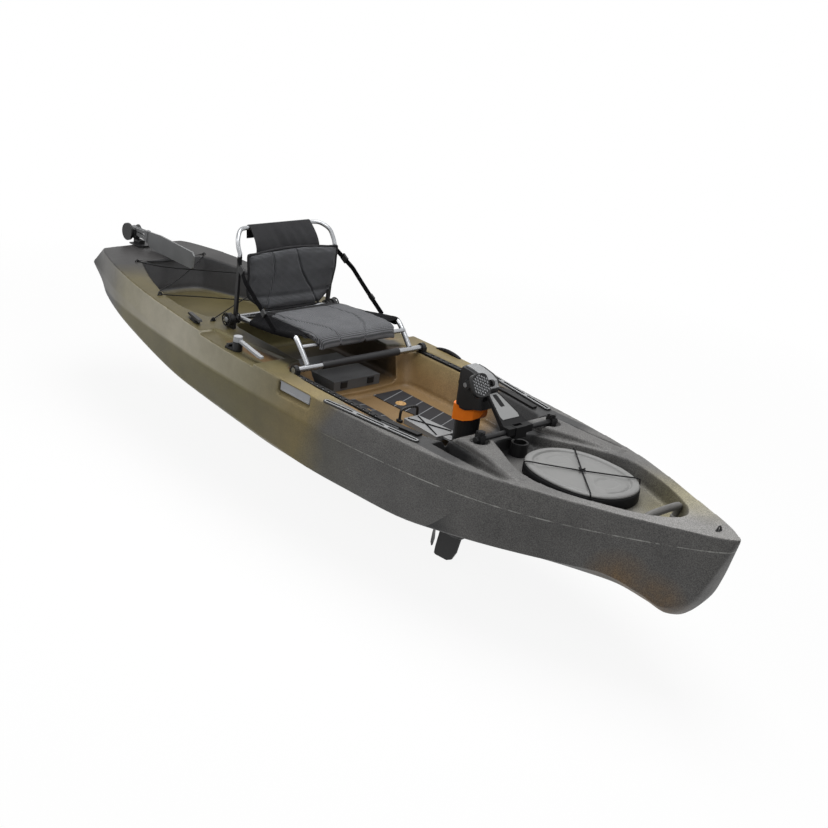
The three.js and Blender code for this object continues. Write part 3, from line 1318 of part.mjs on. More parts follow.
const single = [
  ['hull', hullShell, 'hull'],
  ['bow_lid', bowLid, 'greyPlastic'],
  ['lid_bungee', lidBungee, 'cord'],
  ['bow_handle', bowGrab, 'greyPlastic'],
  ['lock_post', lockPostSolid, 'blackPlastic'],
  ['deck_cleat', deckCleat, 'blackPlastic'],
  ['steering_base', steeringBase, 'blackPlastic'],
  ['steering_lever', steeringLever, 'greyPlastic'],
  ['steering_knob', steeringKnob, 'greyPlastic'],
  ['tank_bungee', () => tankBungee(cord.radius), 'cord'],
  ['rudder_bracket', rudderBracket, 'blackPlastic'],
  ['rudder_head', rudderHead, 'blackPlastic'],
  ['rudder_blade', rudderBlade, 'blackPlastic'],
  ['crossbar', () => crosswise(pivot.barRadius, pivot.x, pivot.z, -pivot.barHalf, pivot.barHalf), 'blackPlastic'],
  ['drive_brace', braceSolid, 'greyPlastic'],
  ['head_casing', headCasing, 'blackPlastic'],
  ['head_cap', headCap, 'greyPlastic'],
  ['orange_band', orangeBand, 'orange'],
  ['lower_unit', lowerUnit, 'blackPlastic'],
  ['well_cover', wellCover, 'greyPlastic'],
  ['cover_handle', coverHandle, 'blackPlastic'],
  ['cover_bungee', coverBungee, 'cord'],
  ['crank_spindle', crankSpindle, 'steel'],
  ['drive_shaft', driveShaft, 'steel'],
  ['prop_shaft', propShaft, 'steel'],
  ['propeller', propeller, 'blackPlastic'],
  ['front_bar', frontBar, 'aluminium'],
  ['seat_frame', seatFrame, 'aluminium'],
  ['seat_pad', seatPad, 'mesh'],
  ['back_pad', backRest, 'mesh'],
  ['head_flap', headFlap, 'mesh'],
  ['back_hoop', backHoop, 'aluminium'],
  ['box_tray', boxTray, 'greyPlastic'],
  ['box_lid', boxLid, 'greyPlastic'],
];
const paired = [
  ['gear_track', gearTrack, 'greyPlastic'],
  ['seat_rail', seatRail, 'blackPlastic'],
  ['foot_pad', footPad, 'rubber'],
  ['bar_clamp', crossbarClamp, 'blackPlastic'],
  ['clamp_knob', clampKnob, 'blackPlastic'],
  ['crank_arm', crankArm, 'blackPlastic'],
  ['pedal', pedalBody, 'blackPlastic'],
  ['carry_handle', carryHandle, 'greyPlastic'],
  ['rail_shoe', railShoe, 'blackPlastic'],
  ['rear_hub', rearHub, 'blackPlastic'],
  ['back_upright', backUpright, 'blackPlastic'],
  ['seat_strap', tensionStrap, 'mesh'],
  ['box_latch', boxLatch, 'blackPlastic'],
];

for (const [name, make, finish] of single) addPart(name, make(), finish);
for (const [name, make, finish] of paired) {
  for (const [label, side] of Object.entries(sides)) addPart(`${name}_${label}`, make(side), finish);
}

export default boat;
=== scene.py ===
import math
import bpy
import bmesh
from mathutils import Vector, Matrix


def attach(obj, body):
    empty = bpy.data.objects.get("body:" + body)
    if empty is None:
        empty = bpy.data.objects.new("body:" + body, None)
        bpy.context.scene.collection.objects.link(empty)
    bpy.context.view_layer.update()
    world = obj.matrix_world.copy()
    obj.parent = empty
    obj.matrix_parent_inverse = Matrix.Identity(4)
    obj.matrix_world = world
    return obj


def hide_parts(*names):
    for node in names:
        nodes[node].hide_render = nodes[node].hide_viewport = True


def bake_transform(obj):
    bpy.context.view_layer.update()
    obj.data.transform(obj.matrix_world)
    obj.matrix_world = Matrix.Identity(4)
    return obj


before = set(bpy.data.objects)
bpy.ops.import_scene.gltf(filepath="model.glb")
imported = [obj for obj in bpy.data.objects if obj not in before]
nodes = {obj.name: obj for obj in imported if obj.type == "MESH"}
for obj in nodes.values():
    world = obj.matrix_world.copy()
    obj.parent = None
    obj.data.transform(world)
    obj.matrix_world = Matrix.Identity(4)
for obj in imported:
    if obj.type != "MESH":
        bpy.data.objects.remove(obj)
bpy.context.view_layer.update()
scene = bpy.context.scene
scene.view_settings.view_transform = "Standard"
mm = 0.001
bothSides = ((-1, "starboard"), (1, "port"))
print("frame loaded:", len(nodes), "nodes")

# camera

cameraSettings = {"yaw": 134.57, "pitch": 21.04, "roll": 7.41, "place": (4.027, -3.832, 2.308), "lens": 61.57}


def placeCamera():
    yaw, pitch, roll = (math.radians(cameraSettings[k]) for k in ("yaw", "pitch", "roll"))
    forward = Vector((math.cos(yaw) * math.cos(pitch), math.sin(yaw) * math.cos(pitch), -math.sin(pitch)))
    right = Vector((math.sin(yaw), -math.cos(yaw), 0))
    up = right.cross(forward)
    tiltedRight = right * math.cos(roll) + up * math.sin(roll)
    tiltedUp = -right * math.sin(roll) + up * math.cos(roll)
    data = bpy.data.cameras.new("photoCamera")
    data.sensor_width = 36
    data.lens = cameraSettings["lens"]
    camera = bpy.data.objects.new("photoCamera", data)
    scene.collection.objects.link(camera)
    turn = Matrix((tiltedRight, tiltedUp, -forward)).transposed().to_4x4()
    camera.matrix_world = Matrix.Translation(cameraSettings["place"]) @ turn
    scene.camera = camera


def addLamp(name, place, target, power, size):
    data = bpy.data.lights.new(name, "AREA")
    data.energy = power
    data.shape = "RECTANGLE"
    data.size, data.size_y = size
    lamp = bpy.data.objects.new(name, data)
    scene.collection.objects.link(lamp)
    lamp.location = place
    lamp.rotation_euler = (Vector(target) - Vector(place)).to_track_quat("-Z", "Y").to_euler()


# shader tools

black, white = (0, 0, 0, 1), (1, 1, 1, 1)


def linear(r, g, b):
    out = []
    for c in (r, g, b):
        c = c / 255
        out.append(c / 12.92 if c <= 0.04045 else ((c + 0.055) / 1.055) ** 2.4)
    return (*out, 1)


def addNode(tree, kind, inputs=None, **settings):
    node = tree.nodes.new("ShaderNode" + kind)
    for key, value in settings.items():
        setattr(node, key, value)
    for key, value in (inputs or {}).items():
        if isinstance(value, bpy.types.NodeSocket):
            tree.links.new(value, node.inputs[key])
        else:
            node.inputs[key].default_value = value
    return node


def mathNode(tree, operation, *values):
    node = addNode(tree, "Math", operation=operation)
    for i, value in enumerate(values):
        if isinstance(value, bpy.types.NodeSocket):
            tree.links.new(value, node.inputs[i])
        else:
            node.inputs[i].default_value = value
    return node.outputs[0]


def mixColor(tree, share, a, b, blend="MIX"):
    node = addNode(tree, "Mix", data_type="RGBA", blend_type=blend)
    for socket, value in ((node.inputs[0], share), (node.inputs[6], a), (node.inputs[7], b)):
        if isinstance(value, bpy.types.NodeSocket):
            tree.links.new(value, socket)
        else:
            socket.default_value = value
    return node.outputs[2]


def rampNode(tree, value, stops):
    node = addNode(tree, "ValToRGB")
    tree.links.new(value, node.inputs[0])
    ramp = node.color_ramp
    while len(ramp.elements) < len(stops):
        ramp.elements.new(0.5)
    for element, (place, color) in zip(ramp.elements, stops):
        element.position = place
        element.color = color
    return node.outputs[0]


def startGroup(name, inputs, outputs):
    group = bpy.data.node_groups.new(name, "ShaderNodeTree")
    for label, kind, value in inputs:
        socket = group.interface.new_socket(label, in_out="INPUT", socket_type="NodeSocket" + kind)
        if value is not None:
            socket.default_value = value
    for label, kind in outputs:
        group.interface.new_socket(label, in_out="OUTPUT", socket_type="NodeSocket" + kind)
    return group, group.nodes.new("NodeGroupInput"), group.nodes.new("NodeGroupOutput")


def makeGrain():
    # fine moulding grain with broader patches of sheen
    group, gin, gout = startGroup("mouldGrain", [("Vector", "Vector", None), ("Size", "Float", 300.0),
                                                  ("Patch", "Float", 6.0)],
                                  [("Height", "Float"), ("Sheen", "Float"), ("Speckle", "Float")])
    vector, size, broad = (gin.outputs[label] for label in ("Vector", "Size", "Patch"))
    fine = addNode(group, "TexNoise", {"Vector": vector, "Scale": size, "Detail": 2.0})
    patch = addNode(group, "TexNoise", {"Vector": vector, "Scale": broad, "Detail": 4.0})
    spots = rampNode(group, fine.outputs["Fac"], [(0.38, black), (0.62, white)])
    group.links.new(fine.outputs["Fac"], gout.inputs["Height"])
    group.links.new(patch.outputs["Fac"], gout.inputs["Sheen"])
    group.links.new(spots, gout.inputs["Speckle"])
    return group


def makeWeave():
    # small staggered holes of a stretched mesh, laid on a plane given by two of the coordinates
    group, gin, gout = startGroup("meshWeave", [("Along", "Float", 0.0), ("Across", "Float", 0.0),
                                                 ("Pitch", "Float", 0.003)],
                                  [("Height", "Float"), ("Hole", "Float")])
    step = mathNode(group, "DIVIDE", math.pi, gin.outputs["Pitch"])
    a = mathNode(group, "SINE", mathNode(group, "MULTIPLY", gin.outputs["Along"], step))
    b = mathNode(group, "SINE", mathNode(group, "MULTIPLY", gin.outputs["Across"], step))
    both = mathNode(group, "MULTIPLY", a, b)
    height = mathNode(group, "ABSOLUTE", both)
    hole = rampNode(group, height, [(0.35, black), (0.75, white)])
    group.links.new(height, gout.inputs["Height"])
    group.links.new(hole, gout.inputs["Hole"])
    return group


grainGroup = makeGrain()
weaveGroup = makeWeave()


def startMaterial(name):
    mat = bpy.data.materials.new(name)
    mat.use_nodes = True
    tree = mat.node_tree
    shader = tree.nodes["Principled BSDF"]
    spot = addNode(tree, "TexCoord").outputs["Object"]
    return mat, tree, shader, spot


def grainNode(tree, spot, size, patch):
    node = tree.nodes.new("ShaderNodeGroup")
    node.node_tree = grainGroup
    tree.links.new(spot, node.inputs["Vector"])
    node.inputs["Size"].default_value = size
    node.inputs["Patch"].default_value = patch
    return node


def bumpNode(tree, height, strength, distance, before=None):
    inputs = {"Height": height, "Strength": strength, "Distance": distance}
    if before is not None:
        inputs["Normal"] = before
    return addNode(tree, "Bump", inputs).outputs["Normal"]


# studio

studio = {"floorHeight": -0.302, "floorHalf": 40, "sky": 0.32, "overhead": 192, "key": 82, "bow": 16,
          "bounce": 0.32, "pale": 0.95, "shadow": 0.1, "fade": (2.2, 4.4)}


def mixShader(tree, share, first, second):
    node = addNode(tree, "MixShader")
    for socket, value in zip(node.inputs, (share, first, second)):
        if isinstance(value, bpy.types.NodeSocket):
            tree.links.new(value, socket)
        else:
            socket.default_value = value
    return node.outputs[0]


def seenShare(tree):
    # camera, mirror and see-through rays all meet the white background
    path = addNode(tree, "LightPath")
    direct = mathNode(tree, "MAXIMUM", path.outputs["Is Camera Ray"], path.outputs["Is Glossy Ray"])
    return mathNode(tree, "MAXIMUM", direct, path.outputs["Is Transmission Ray"])


def backdropMaterial():
    # white to look at, with a faint shadow near the boat, and duller for the light that bounces off it
    mat = bpy.data.materials.new("paleFloor")
    mat.use_nodes = True
    tree = mat.node_tree
    tree.nodes.clear()
    out = addNode(tree, "OutputMaterial")
    spot = addNode(tree, "TexCoord").outputs["Object"]
    reach = addNode(tree, "VectorMath", {0: spot, 1: (0, 0, 0)}, operation="DISTANCE").outputs["Value"]
    near, far = studio["fade"]
    fade = {"Value": reach, 1: near, 2: far, 3: studio["shadow"], 4: 0.0}
    shade = addNode(tree, "MapRange", fade).outputs[0]
    glow = addNode(tree, "Emission", {"Color": white}).outputs[0]
    pale = addNode(tree, "BsdfDiffuse", {"Color": (*[studio["pale"]] * 3, 1)}).outputs[0]
    dull = addNode(tree, "BsdfDiffuse", {"Color": (*[studio["bounce"]] * 3, 1)}).outputs[0]
    seen = mixShader(tree, shade, glow, pale)
    tree.links.new(mixShader(tree, seenShare(tree), dull, seen), out.inputs[0])
    return mat


def buildStudio():
    mesh = bpy.data.meshes.new("floor")
    half, z = studio["floorHalf"], studio["floorHeight"]
    corners = [(-half, -half, z), (half, -half, z), (half, half, z), (-half, half, z)]
    mesh.from_pydata(corners, [], [(0, 1, 2, 3)])
    floor = bpy.data.objects.new("floor", mesh)
    scene.collection.objects.link(floor)
    mesh.materials.append(backdropMaterial())
    world = bpy.data.worlds.new("studio")
    scene.world = world
    world.use_nodes = True
    tree = world.node_tree
    tree.nodes.clear()
    out = addNode(tree, "OutputWorld")
    soft = addNode(tree, "Background", {"Strength": studio["sky"]}).outputs[0]
    plain = addNode(tree, "Background", {"Color": white, "Strength": 1.0}).outputs[0]
    tree.links.new(mixShader(tree, seenShare(tree), soft, plain), out.inputs[0])
    addLamp("overhead", (0.2, 0.3, 4.3), (0, 0, 0.3), studio["overhead"], (4.5, 2.6))
    addLamp("key", (-2.2, -4.6, 3.6), (-0.2, 0, 0.2), studio["key"], (3.0, 2.0))
    addLamp("bowSide", (4.8, -1.0, 2.2), (0.8, 0, 0.3), studio["bow"], (2.0, 2.0))


placeCamera()
buildStudio()
print("camera and studio placed")


def mouldedMaterial(name, color, rough=0.45, lift=1.3, size=420.0, bump=0.25, shine=0.3):
    mat, tree, shader, spot = startMaterial(name)
    grain = grainNode(tree, spot, size, 9.0)
    base = linear(*color)
    light = (*(min(1, c * lift + 0.001) for c in base[:3]), 1)
    tree.links.new(mixColor(tree, grain.outputs["Sheen"], base, light), shader.inputs["Base Color"])
    roughness = mathNode(tree, "MULTIPLY_ADD", grain.outputs["Sheen"], 0.22, rough - 0.11)
    tree.links.new(roughness, shader.inputs["Roughness"])
    tree.links.new(bumpNode(tree, grain.outputs["Height"], bump, 0.0006), shader.inputs["Normal"])
    shader.inputs["Specular IOR Level"].default_value = shine
    return mat


# hull finish

# the sheen and line tones are painted highlights, the veins tone also serves as the painted shade under the
# seat, and the trough tone also as the ledge, partly painted shade
hullColors = {"bowGrey": (96, 95, 94), "olive": (110, 103, 70), "tan": (132, 118, 82), "stern": (58, 58, 59),
              "cockpit": (126, 101, 66), "patch": (128, 98, 56), "veins": (34, 34, 35), "rear": (66, 66, 68),
              "trough": (44, 44, 45), "sheen": (214, 208, 192), "line": (205, 205, 200)}
hullBands = ((0.0, "stern"), (0.075, "stern"), (0.13, "olive"), (0.42, "olive"), (0.5, "tan"), (0.535, "tan"),
             (0.575, "bowGrey"), (1.0, "bowGrey"))
hullNoise = ((1.9, 4.0, 0.55), (7.0, 5.0, 0.65), (13.0, 7.0, 0.7))
hullFlow = {"slant": (-0.35, 0.08), "shift": (0.44, -0.22), "length": 3.7, "grain": (260.0, 2.6),
            "rough": (0.3, 0.34), "specular": 0.32, "bump": (0.3, 0.0007)}
# painted highlight along the side crease, ahead of midships
creaseHighlight = {"middle": 0.1, "fourth": 0.004, "second": 0.021, "height": 0.2235, "thin": (0.0026, 0.0008),
              "ahead": (0.1, 0.6), "worn": (0.42, 0.56)}
# a zone holds its two ends and the softness of its border
hullZones = {"lip": 0.3445, "half": 0.378, "drift": 0.14, "start": 0.07, "trough": (0.43, 0.86, 0.05),
             "cockpit": (-0.55, 0.43, 0.05), "ledgeWide": (0.306, 0.5, 0.004),
             "ledgeLong": (0.36, 0.82, 0.05),
             # the four keys about the seat mark where painted shade falls under it
             "shelterLong": (-0.6, -0.15, 0.04), "shelterWide": (-1.0, 0.322, 0.016), "shelterTop": 0.4,
             "shelterShare": 0.8, "portDeck": (-0.3, 0.31, 0.05), "portEdge": (0.3, 0.34), "portShare": 0.85,
             "rearHigh": (0.245, 0.6, 0.004), "rearLong": (-2.0, -1.12, 0.1), "rearEdge": (-0.3, -0.16),
             "bowLong": (1.3, 1.62, 0.12), "bowWide": (0.03, 0.25, 0.05), "bowShare": 0.55}
hullMarks = {"patches": (((1.49, -0.13, 0.1), 0.15), ((1.61, -0.1, 0.06), 0.14)), "patchCloud": (0.3, 0.62),
             "patchFade": 0.2, "veins": ((1.12, -0.31, 0.19), 0.26, 0.06), "veinLine": (0.485, 0.5, 0.515),
             "veinShare": 0.6, "cloud": (0.25, 0.75),
             "cloudTint": ((0.76, 0.76, 0.76, 1), (1.2, 1.2, 1.18, 1)), "greyAlong": (0.0, 0.5, 0.2, 1.0),
             "speckle": (0.62, 1.32), "creaseShare": 0.7}
# painted light on the hull: sheen on the upper side aft, shade on the lower side and deck aft, light on the
# bow deck
hullPaintedLight = {"flat": (0.55, 0.85), "side": (0.7, 0.5), "taper": -0.3, "outside": (0.355, 0.38),
             "upper": (0.222, 0.24), "streak": (-1.4, -0.4, 0.42), "gloss": (0.5, 0.32),
             "below": (-1.35, 0.2, 0.25), "belowTint": (0.68, 0.66, 0.46, 1), "aft": (0.2, -0.35),
             "aftTint": (0.58, 0.55, 0.52, 1), "bow": (1.2, 1.6), "bowTint": (2.1, 2.1, 2.1, 1)}


def slope(tree, value, start, end):
    # nought at start and one at end
    return addNode(tree, "MapRange", {"Value": value, 1: start, 2: end}).outputs[0]


def product(tree, *shares):
    result = shares[0]
    for share in shares[1:]:
        result = mathNode(tree, "MULTIPLY", result, share)
    return result


def between(tree, value, low, high, soft):
    # one inside a range and falling to nought over a soft border
    rise = slope(tree, value, low - soft, low + soft)
    return product(tree, rise, slope(tree, value, high + soft, high - soft))


def nearSpot(tree, spot, place, outer, inner):
    reach = addNode(tree, "VectorMath", {0: spot, 1: place}, operation="DISTANCE").outputs["Value"]
    return slope(tree, reach, outer, inner)


def greyTone(value):
    return (value, value, value, 1)


def tinted(tree, color, tint):
    return mixColor(tree, 1.0, color, tint, "MULTIPLY")


def creaseShare(tree, x, z, broken):
    # painted highlight: a thin pale line that follows the crease of the side, broken here and there by noise
    s = creaseHighlight
    away = mathNode(tree, "SUBTRACT", x, s["middle"])
    square = mathNode(tree, "MULTIPLY", away, away)
    curve = mathNode(tree, "MULTIPLY_ADD", square, s["fourth"], s["second"])
    height = mathNode(tree, "MULTIPLY_ADD", square, curve, s["height"])
    gap = mathNode(tree, "ABSOLUTE", mathNode(tree, "SUBTRACT", z, height))
    worn = rampNode(tree, broken, list(zip(s["worn"], (black, white))))
    return product(tree, slope(tree, gap, *s["thin"]), slope(tree, x, *s["ahead"]), worn)


def insideColors(tree, color, tones, p):
    # warm tan cockpit with a dark trough, a dark ledge that is partly painted shade, and painted shade,
    # nearly black, under the seat
    s = hullZones
    low = mathNode(tree, "LESS_THAN", p["z"], s["lip"])
    cavity = product(tree, low, mathNode(tree, "LESS_THAN", p["wide"], s["half"]))
    border = mathNode(tree, "SUBTRACT", p["x"], s["start"])
    border = mathNode(tree, "MULTIPLY_ADD", p["wobble"], s["drift"], border)
    # the ledge takes the dark trough tone, partly for the black rail beside it and partly as painted shade
    ledge = product(tree, between(tree, p["wide"], *s["ledgeWide"]), between(tree, border, *s["ledgeLong"]))
    shares = ((between(tree, border, *s["trough"]), "trough"),
              (between(tree, border, *s["cockpit"]), "cockpit"), (ledge, "trough"))
    for share, tone in shares:
        color = mixColor(tree, product(tree, cavity, share), color, tones[tone])
    # painted shade under the seat, nearly black, drawn in the dark veins tone
    seatShade = product(tree, between(tree, p["x"], *s["shelterLong"]),
                      between(tree, p["wide"], *s["shelterWide"]),
                      mathNode(tree, "LESS_THAN", p["z"], s["shelterTop"]), s["shelterShare"])
    return mixColor(tree, seatShade, color, tones["veins"])


def deckColors(tree, color, tones, p):
    # tan port deck beside the cockpit, grey walls of the rear well and an olive patch to port of the bow
    s = hullZones
    portDeck = product(tree, between(tree, p["x"], *s["portDeck"]), slope(tree, p["y"], *s["portEdge"]),
                       s["portShare"])
    color = mixColor(tree, portDeck, color, tones["tan"])
    rearDeck = product(tree, between(tree, p["z"], *s["rearHigh"]), between(tree, p["along"], *s["rearLong"]),
                       slope(tree, p["y"], *s["rearEdge"]))
    color = mixColor(tree, rearDeck, color, tones["rear"])
    olivePort = product(tree, between(tree, p["x"], *s["bowLong"]), between(tree, p["y"], *s["bowWide"]),
                        s["bowShare"])
    return mixColor(tree, olivePort, color, tones["olive"])


def markColors(tree, color, tones, p):
    # brown patches low on the bow, dark cracks behind them, clouds, speckle and a painted highlight along the
    # crease
    s = hullMarks
    spots = [nearSpot(tree, p["spot"], place, reach, 0.0) for place, reach in s["patches"]]
    fade = rampNode(tree, p["cloud"], list(zip(s["patchCloud"], (greyTone(s["patchFade"]), white))))
    color = mixColor(tree, product(tree, mathNode(tree, "MAXIMUM", *spots), fade), color, tones["patch"])
    line = rampNode(tree, p["crack"], list(zip(s["veinLine"], (black, white, black))))
    veins = product(tree, nearSpot(tree, p["spot"], *s["veins"]), line, s["veinShare"])
    color = mixColor(tree, veins, color, tones["veins"])
    color = tinted(tree, color, rampNode(tree, p["cloud"], list(zip(s["cloud"], s["cloudTint"]))))
    greyInputs = {"Value": p["along"], **dict(zip((1, 2, 3, 4), s["greyAlong"]))}
    greyShare = addNode(tree, "MapRange", greyInputs).outputs[0]
    speckle = mixColor(tree, p["speckle"], *(greyTone(v) for v in s["speckle"]))
    color = mixColor(tree, greyShare, color, tinted(tree, color, speckle))
    # painted highlight along the crease, in the pale line tone
    crease = product(tree, creaseShare(tree, p["x"], p["z"], p["crack"]), s["creaseShare"])
    return mixColor(tree, crease, color, tones["line"])


def sheenColors(tree, color, tones, p):
    # painted light and shade: a pale painted sheen along the upper side aft, painted shade on the lower side
    # and deck there, and painted light on the deck at the bow
    s = hullPaintedLight
    facing = addNode(tree, "SeparateXYZ", {"Vector": addNode(tree, "TexCoord").outputs["Normal"]}).outputs[2]
    flat = slope(tree, facing, *s["flat"])
    side = slope(tree, mathNode(tree, "ABSOLUTE", facing), *s["side"])
    taper = mathNode(tree, "MAXIMUM", mathNode(tree, "MULTIPLY_ADD", p["x"], s["taper"], s["taper"]), 0.0)
    outer = product(tree, side, slope(tree, mathNode(tree, "ADD", p["wide"], taper), *s["outside"]))
    upper = slope(tree, p["z"], *s["upper"])
    streak = product(tree, between(tree, p["x"], *s["streak"]), product(tree, upper, outer))
    # painted sheen, patchy with the cloud noise
    gloss = product(tree, streak, mathNode(tree, "MULTIPLY_ADD", p["cloud"], *s["gloss"]))
    color = mixColor(tree, gloss, color, tones["sheen"])
    # painted shade on the lower side aft
    below = product(tree, outer, mathNode(tree, "SUBTRACT", 1.0, upper), between(tree, p["x"], *s["below"]))
    # painted shade on the up-facing deck aft and painted light on the up-facing deck at the bow
    shares = {"belowTint": below, "aftTint": product(tree, flat, slope(tree, p["x"], *s["aft"])),
              "bowTint": product(tree, flat, slope(tree, p["x"], *s["bow"]))}
    for tint, share in shares.items():
        color = mixColor(tree, share, color, tinted(tree, color, s[tint]))
    return color


def hullMaterial():
    # the moulded colours run into each other along the boat, with soft noisy borders
    s = hullFlow
    mat, tree, shader, spot = startMaterial("mottledHull")
    grain = grainNode(tree, spot, *s["grain"])
    noises = []
    for scale, detail, rough in hullNoise:
        inputs = {"Vector": spot, "Scale": scale, "Detail": detail, "Roughness": rough}
        noises.append(addNode(tree, "TexNoise", inputs).outputs["Fac"])
    wobble, cloud, crack = noises
    x, y, z = addNode(tree, "SeparateXYZ", {"Vector": spot}).outputs
    slant = mathNode(tree, "MULTIPLY_ADD", z, *s["slant"])
    shift = mathNode(tree, "MULTIPLY_ADD", wobble, *s["shift"])
    along = mathNode(tree, "ADD", mathNode(tree, "ADD", x, shift), slant)
    place = mathNode(tree, "MULTIPLY_ADD", along, 1 / s["length"], 0.5)
    tones = {name: linear(*color) for name, color in hullColors.items()}
    color = rampNode(tree, place, [(stop, tones[name]) for stop, name in hullBands])
    p = {"spot": spot, "x": x, "y": y, "z": z, "wide": mathNode(tree, "ABSOLUTE", y), "along": along,
         "wobble": wobble, "cloud": cloud, "crack": crack, "speckle": grain.outputs["Speckle"]}
    # the last layer adds painted sheen, painted shade and painted light
    for paint in (insideColors, deckColors, markColors, sheenColors):
        color = paint(tree, color, tones, p)
    tree.links.new(color, shader.inputs["Base Color"])
    roughness = mathNode(tree, "MULTIPLY_ADD", grain.outputs["Sheen"], *s["rough"])
    tree.links.new(roughness, shader.inputs["Roughness"])
    shader.inputs["Specular IOR Level"].default_value = s["specular"]
    tree.links.new(bumpNode(tree, grain.outputs["Height"], *s["bump"]), shader.inputs["Normal"])
    return mat


# cloth, metal and plastic finishes


def fabricMaterial(name, axes, dark=(20, 20, 22), light=(104, 105, 108), pitch=0.0052, gloss=0.15,
                   border=None):
    mat, tree, shader, spot = startMaterial(name)
    parts = addNode(tree, "SeparateXYZ", {"Vector": spot}).outputs
    weave = tree.nodes.new("ShaderNodeGroup")
    weave.node_tree = weaveGroup
    tree.links.new(parts[axes[0]], weave.inputs["Along"])
    tree.links.new(parts[axes[1]], weave.inputs["Across"])
    weave.inputs["Pitch"].default_value = pitch
    soft = grainNode(tree, spot, 900.0, 14.0)
    tone = mixColor(tree, soft.outputs["Sheen"], greyTone(0.75), greyTone(1.2))
    threads = mixColor(tree, weave.outputs["Hole"], linear(*light), linear(*dark))
    cloth = tinted(tree, threads, tone)
    if border:
        # plain black cloth outside the woven panel
        panel = product(tree, between(tree, parts[0], border[0], 1.0, 0.003),
                        between(tree, parts[1], -border[1], border[1], 0.002))
        cloth = mixColor(tree, panel, linear(22, 22, 24), cloth)
    tree.links.new(cloth, shader.inputs["Base Color"])
    shader.inputs["Roughness"].default_value = 0.85
    shader.inputs["Sheen Weight"].default_value = gloss * 0.4
    shader.inputs["Specular IOR Level"].default_value = gloss
    shader.inputs["Sheen Roughness"].default_value = 0.5
    first = bumpNode(tree, weave.outputs["Height"], 0.5, 0.0012)
    tree.links.new(bumpNode(tree, soft.outputs["Height"], 0.2, 0.0004, first), shader.inputs["Normal"])
    return mat


def metalMaterial(name, color, rough, axis):
    # drawn tube: fine streaks along one axis and small dull patches
    mat, tree, shader, spot = startMaterial(name)
    scale = [90.0, 90.0, 90.0]
    scale[axis] = 4.0
    streak = addNode(tree, "Mapping", {"Vector": spot, "Scale": scale})
    lines = addNode(tree, "TexNoise", {"Vector": streak.outputs[0], "Scale": 6.0, "Detail": 3.0})
    tree.links.new(mixColor(tree, lines.outputs["Fac"], linear(*(c * 0.86 for c in color)), linear(*color)),
                   shader.inputs["Base Color"])
    roughness = mathNode(tree, "MULTIPLY_ADD", lines.outputs["Fac"], 0.2, rough - 0.1)
    tree.links.new(roughness, shader.inputs["Roughness"])
    tree.links.new(bumpNode(tree, lines.outputs["Fac"], 0.12, 0.0004), shader.inputs["Normal"])
    shader.inputs["Metallic"].default_value = 1.0
    return mat


def objectParts(tree):
    return addNode(tree, "SeparateXYZ", {"Vector": addNode(tree, "TexCoord").outputs["Object"]}).outputs


def layTone(mat, share, tone):
    # a second tone over a moulded finish, where share is one
    tree = mat.node_tree
    target = tree.nodes["Principled BSDF"].inputs["Base Color"]
    base = target.links[0].from_socket
    tree.links.new(mixColor(tree, share, base, linear(*tone)), target)


railSlots = {"wide": (0.3445, 0.3567, 0.0004), "floor": 0.3434, "tone": (150, 152, 154)}


def railMaterial():
    # black plastic whose slot floors are paler
    s = railSlots
    mat = mouldedMaterial("railBlack", (16, 16, 17), 0.5, shine=0.2)
    tree = mat.node_tree
    parts = objectParts(tree)
    wide = mathNode(tree, "ABSOLUTE", parts[1])
    floor = product(tree, between(tree, wide, *s["wide"]), mathNode(tree, "LESS_THAN", parts[2], s["floor"]))
    layTone(mat, floor, s["tone"])
    return mat


padGrooves = {"slant": 0.35, "pitch": 0.066, "line": (0.04, 0.02), "tone": (128, 130, 133)}


def padMaterial():
    # dark foot pad crossed by thin pale grooves
    s = padGrooves
    mat = mouldedMaterial("padRubber", (30, 30, 33), 0.65, 1.3, 260.0, 0.4, 0.25)
    tree = mat.node_tree
    parts = objectParts(tree)
    wide = mathNode(tree, "ABSOLUTE", parts[1])
    slant = mathNode(tree, "MULTIPLY_ADD", wide, s["slant"], parts[0])
    step = mathNode(tree, "FRACT", mathNode(tree, "MULTIPLY", slant, 1 / s["pitch"]))
    away = mathNode(tree, "ABSOLUTE", mathNode(tree, "SUBTRACT", step, 0.5))
    layTone(mat, slope(tree, away, *s["line"]), s["tone"])
    return mat


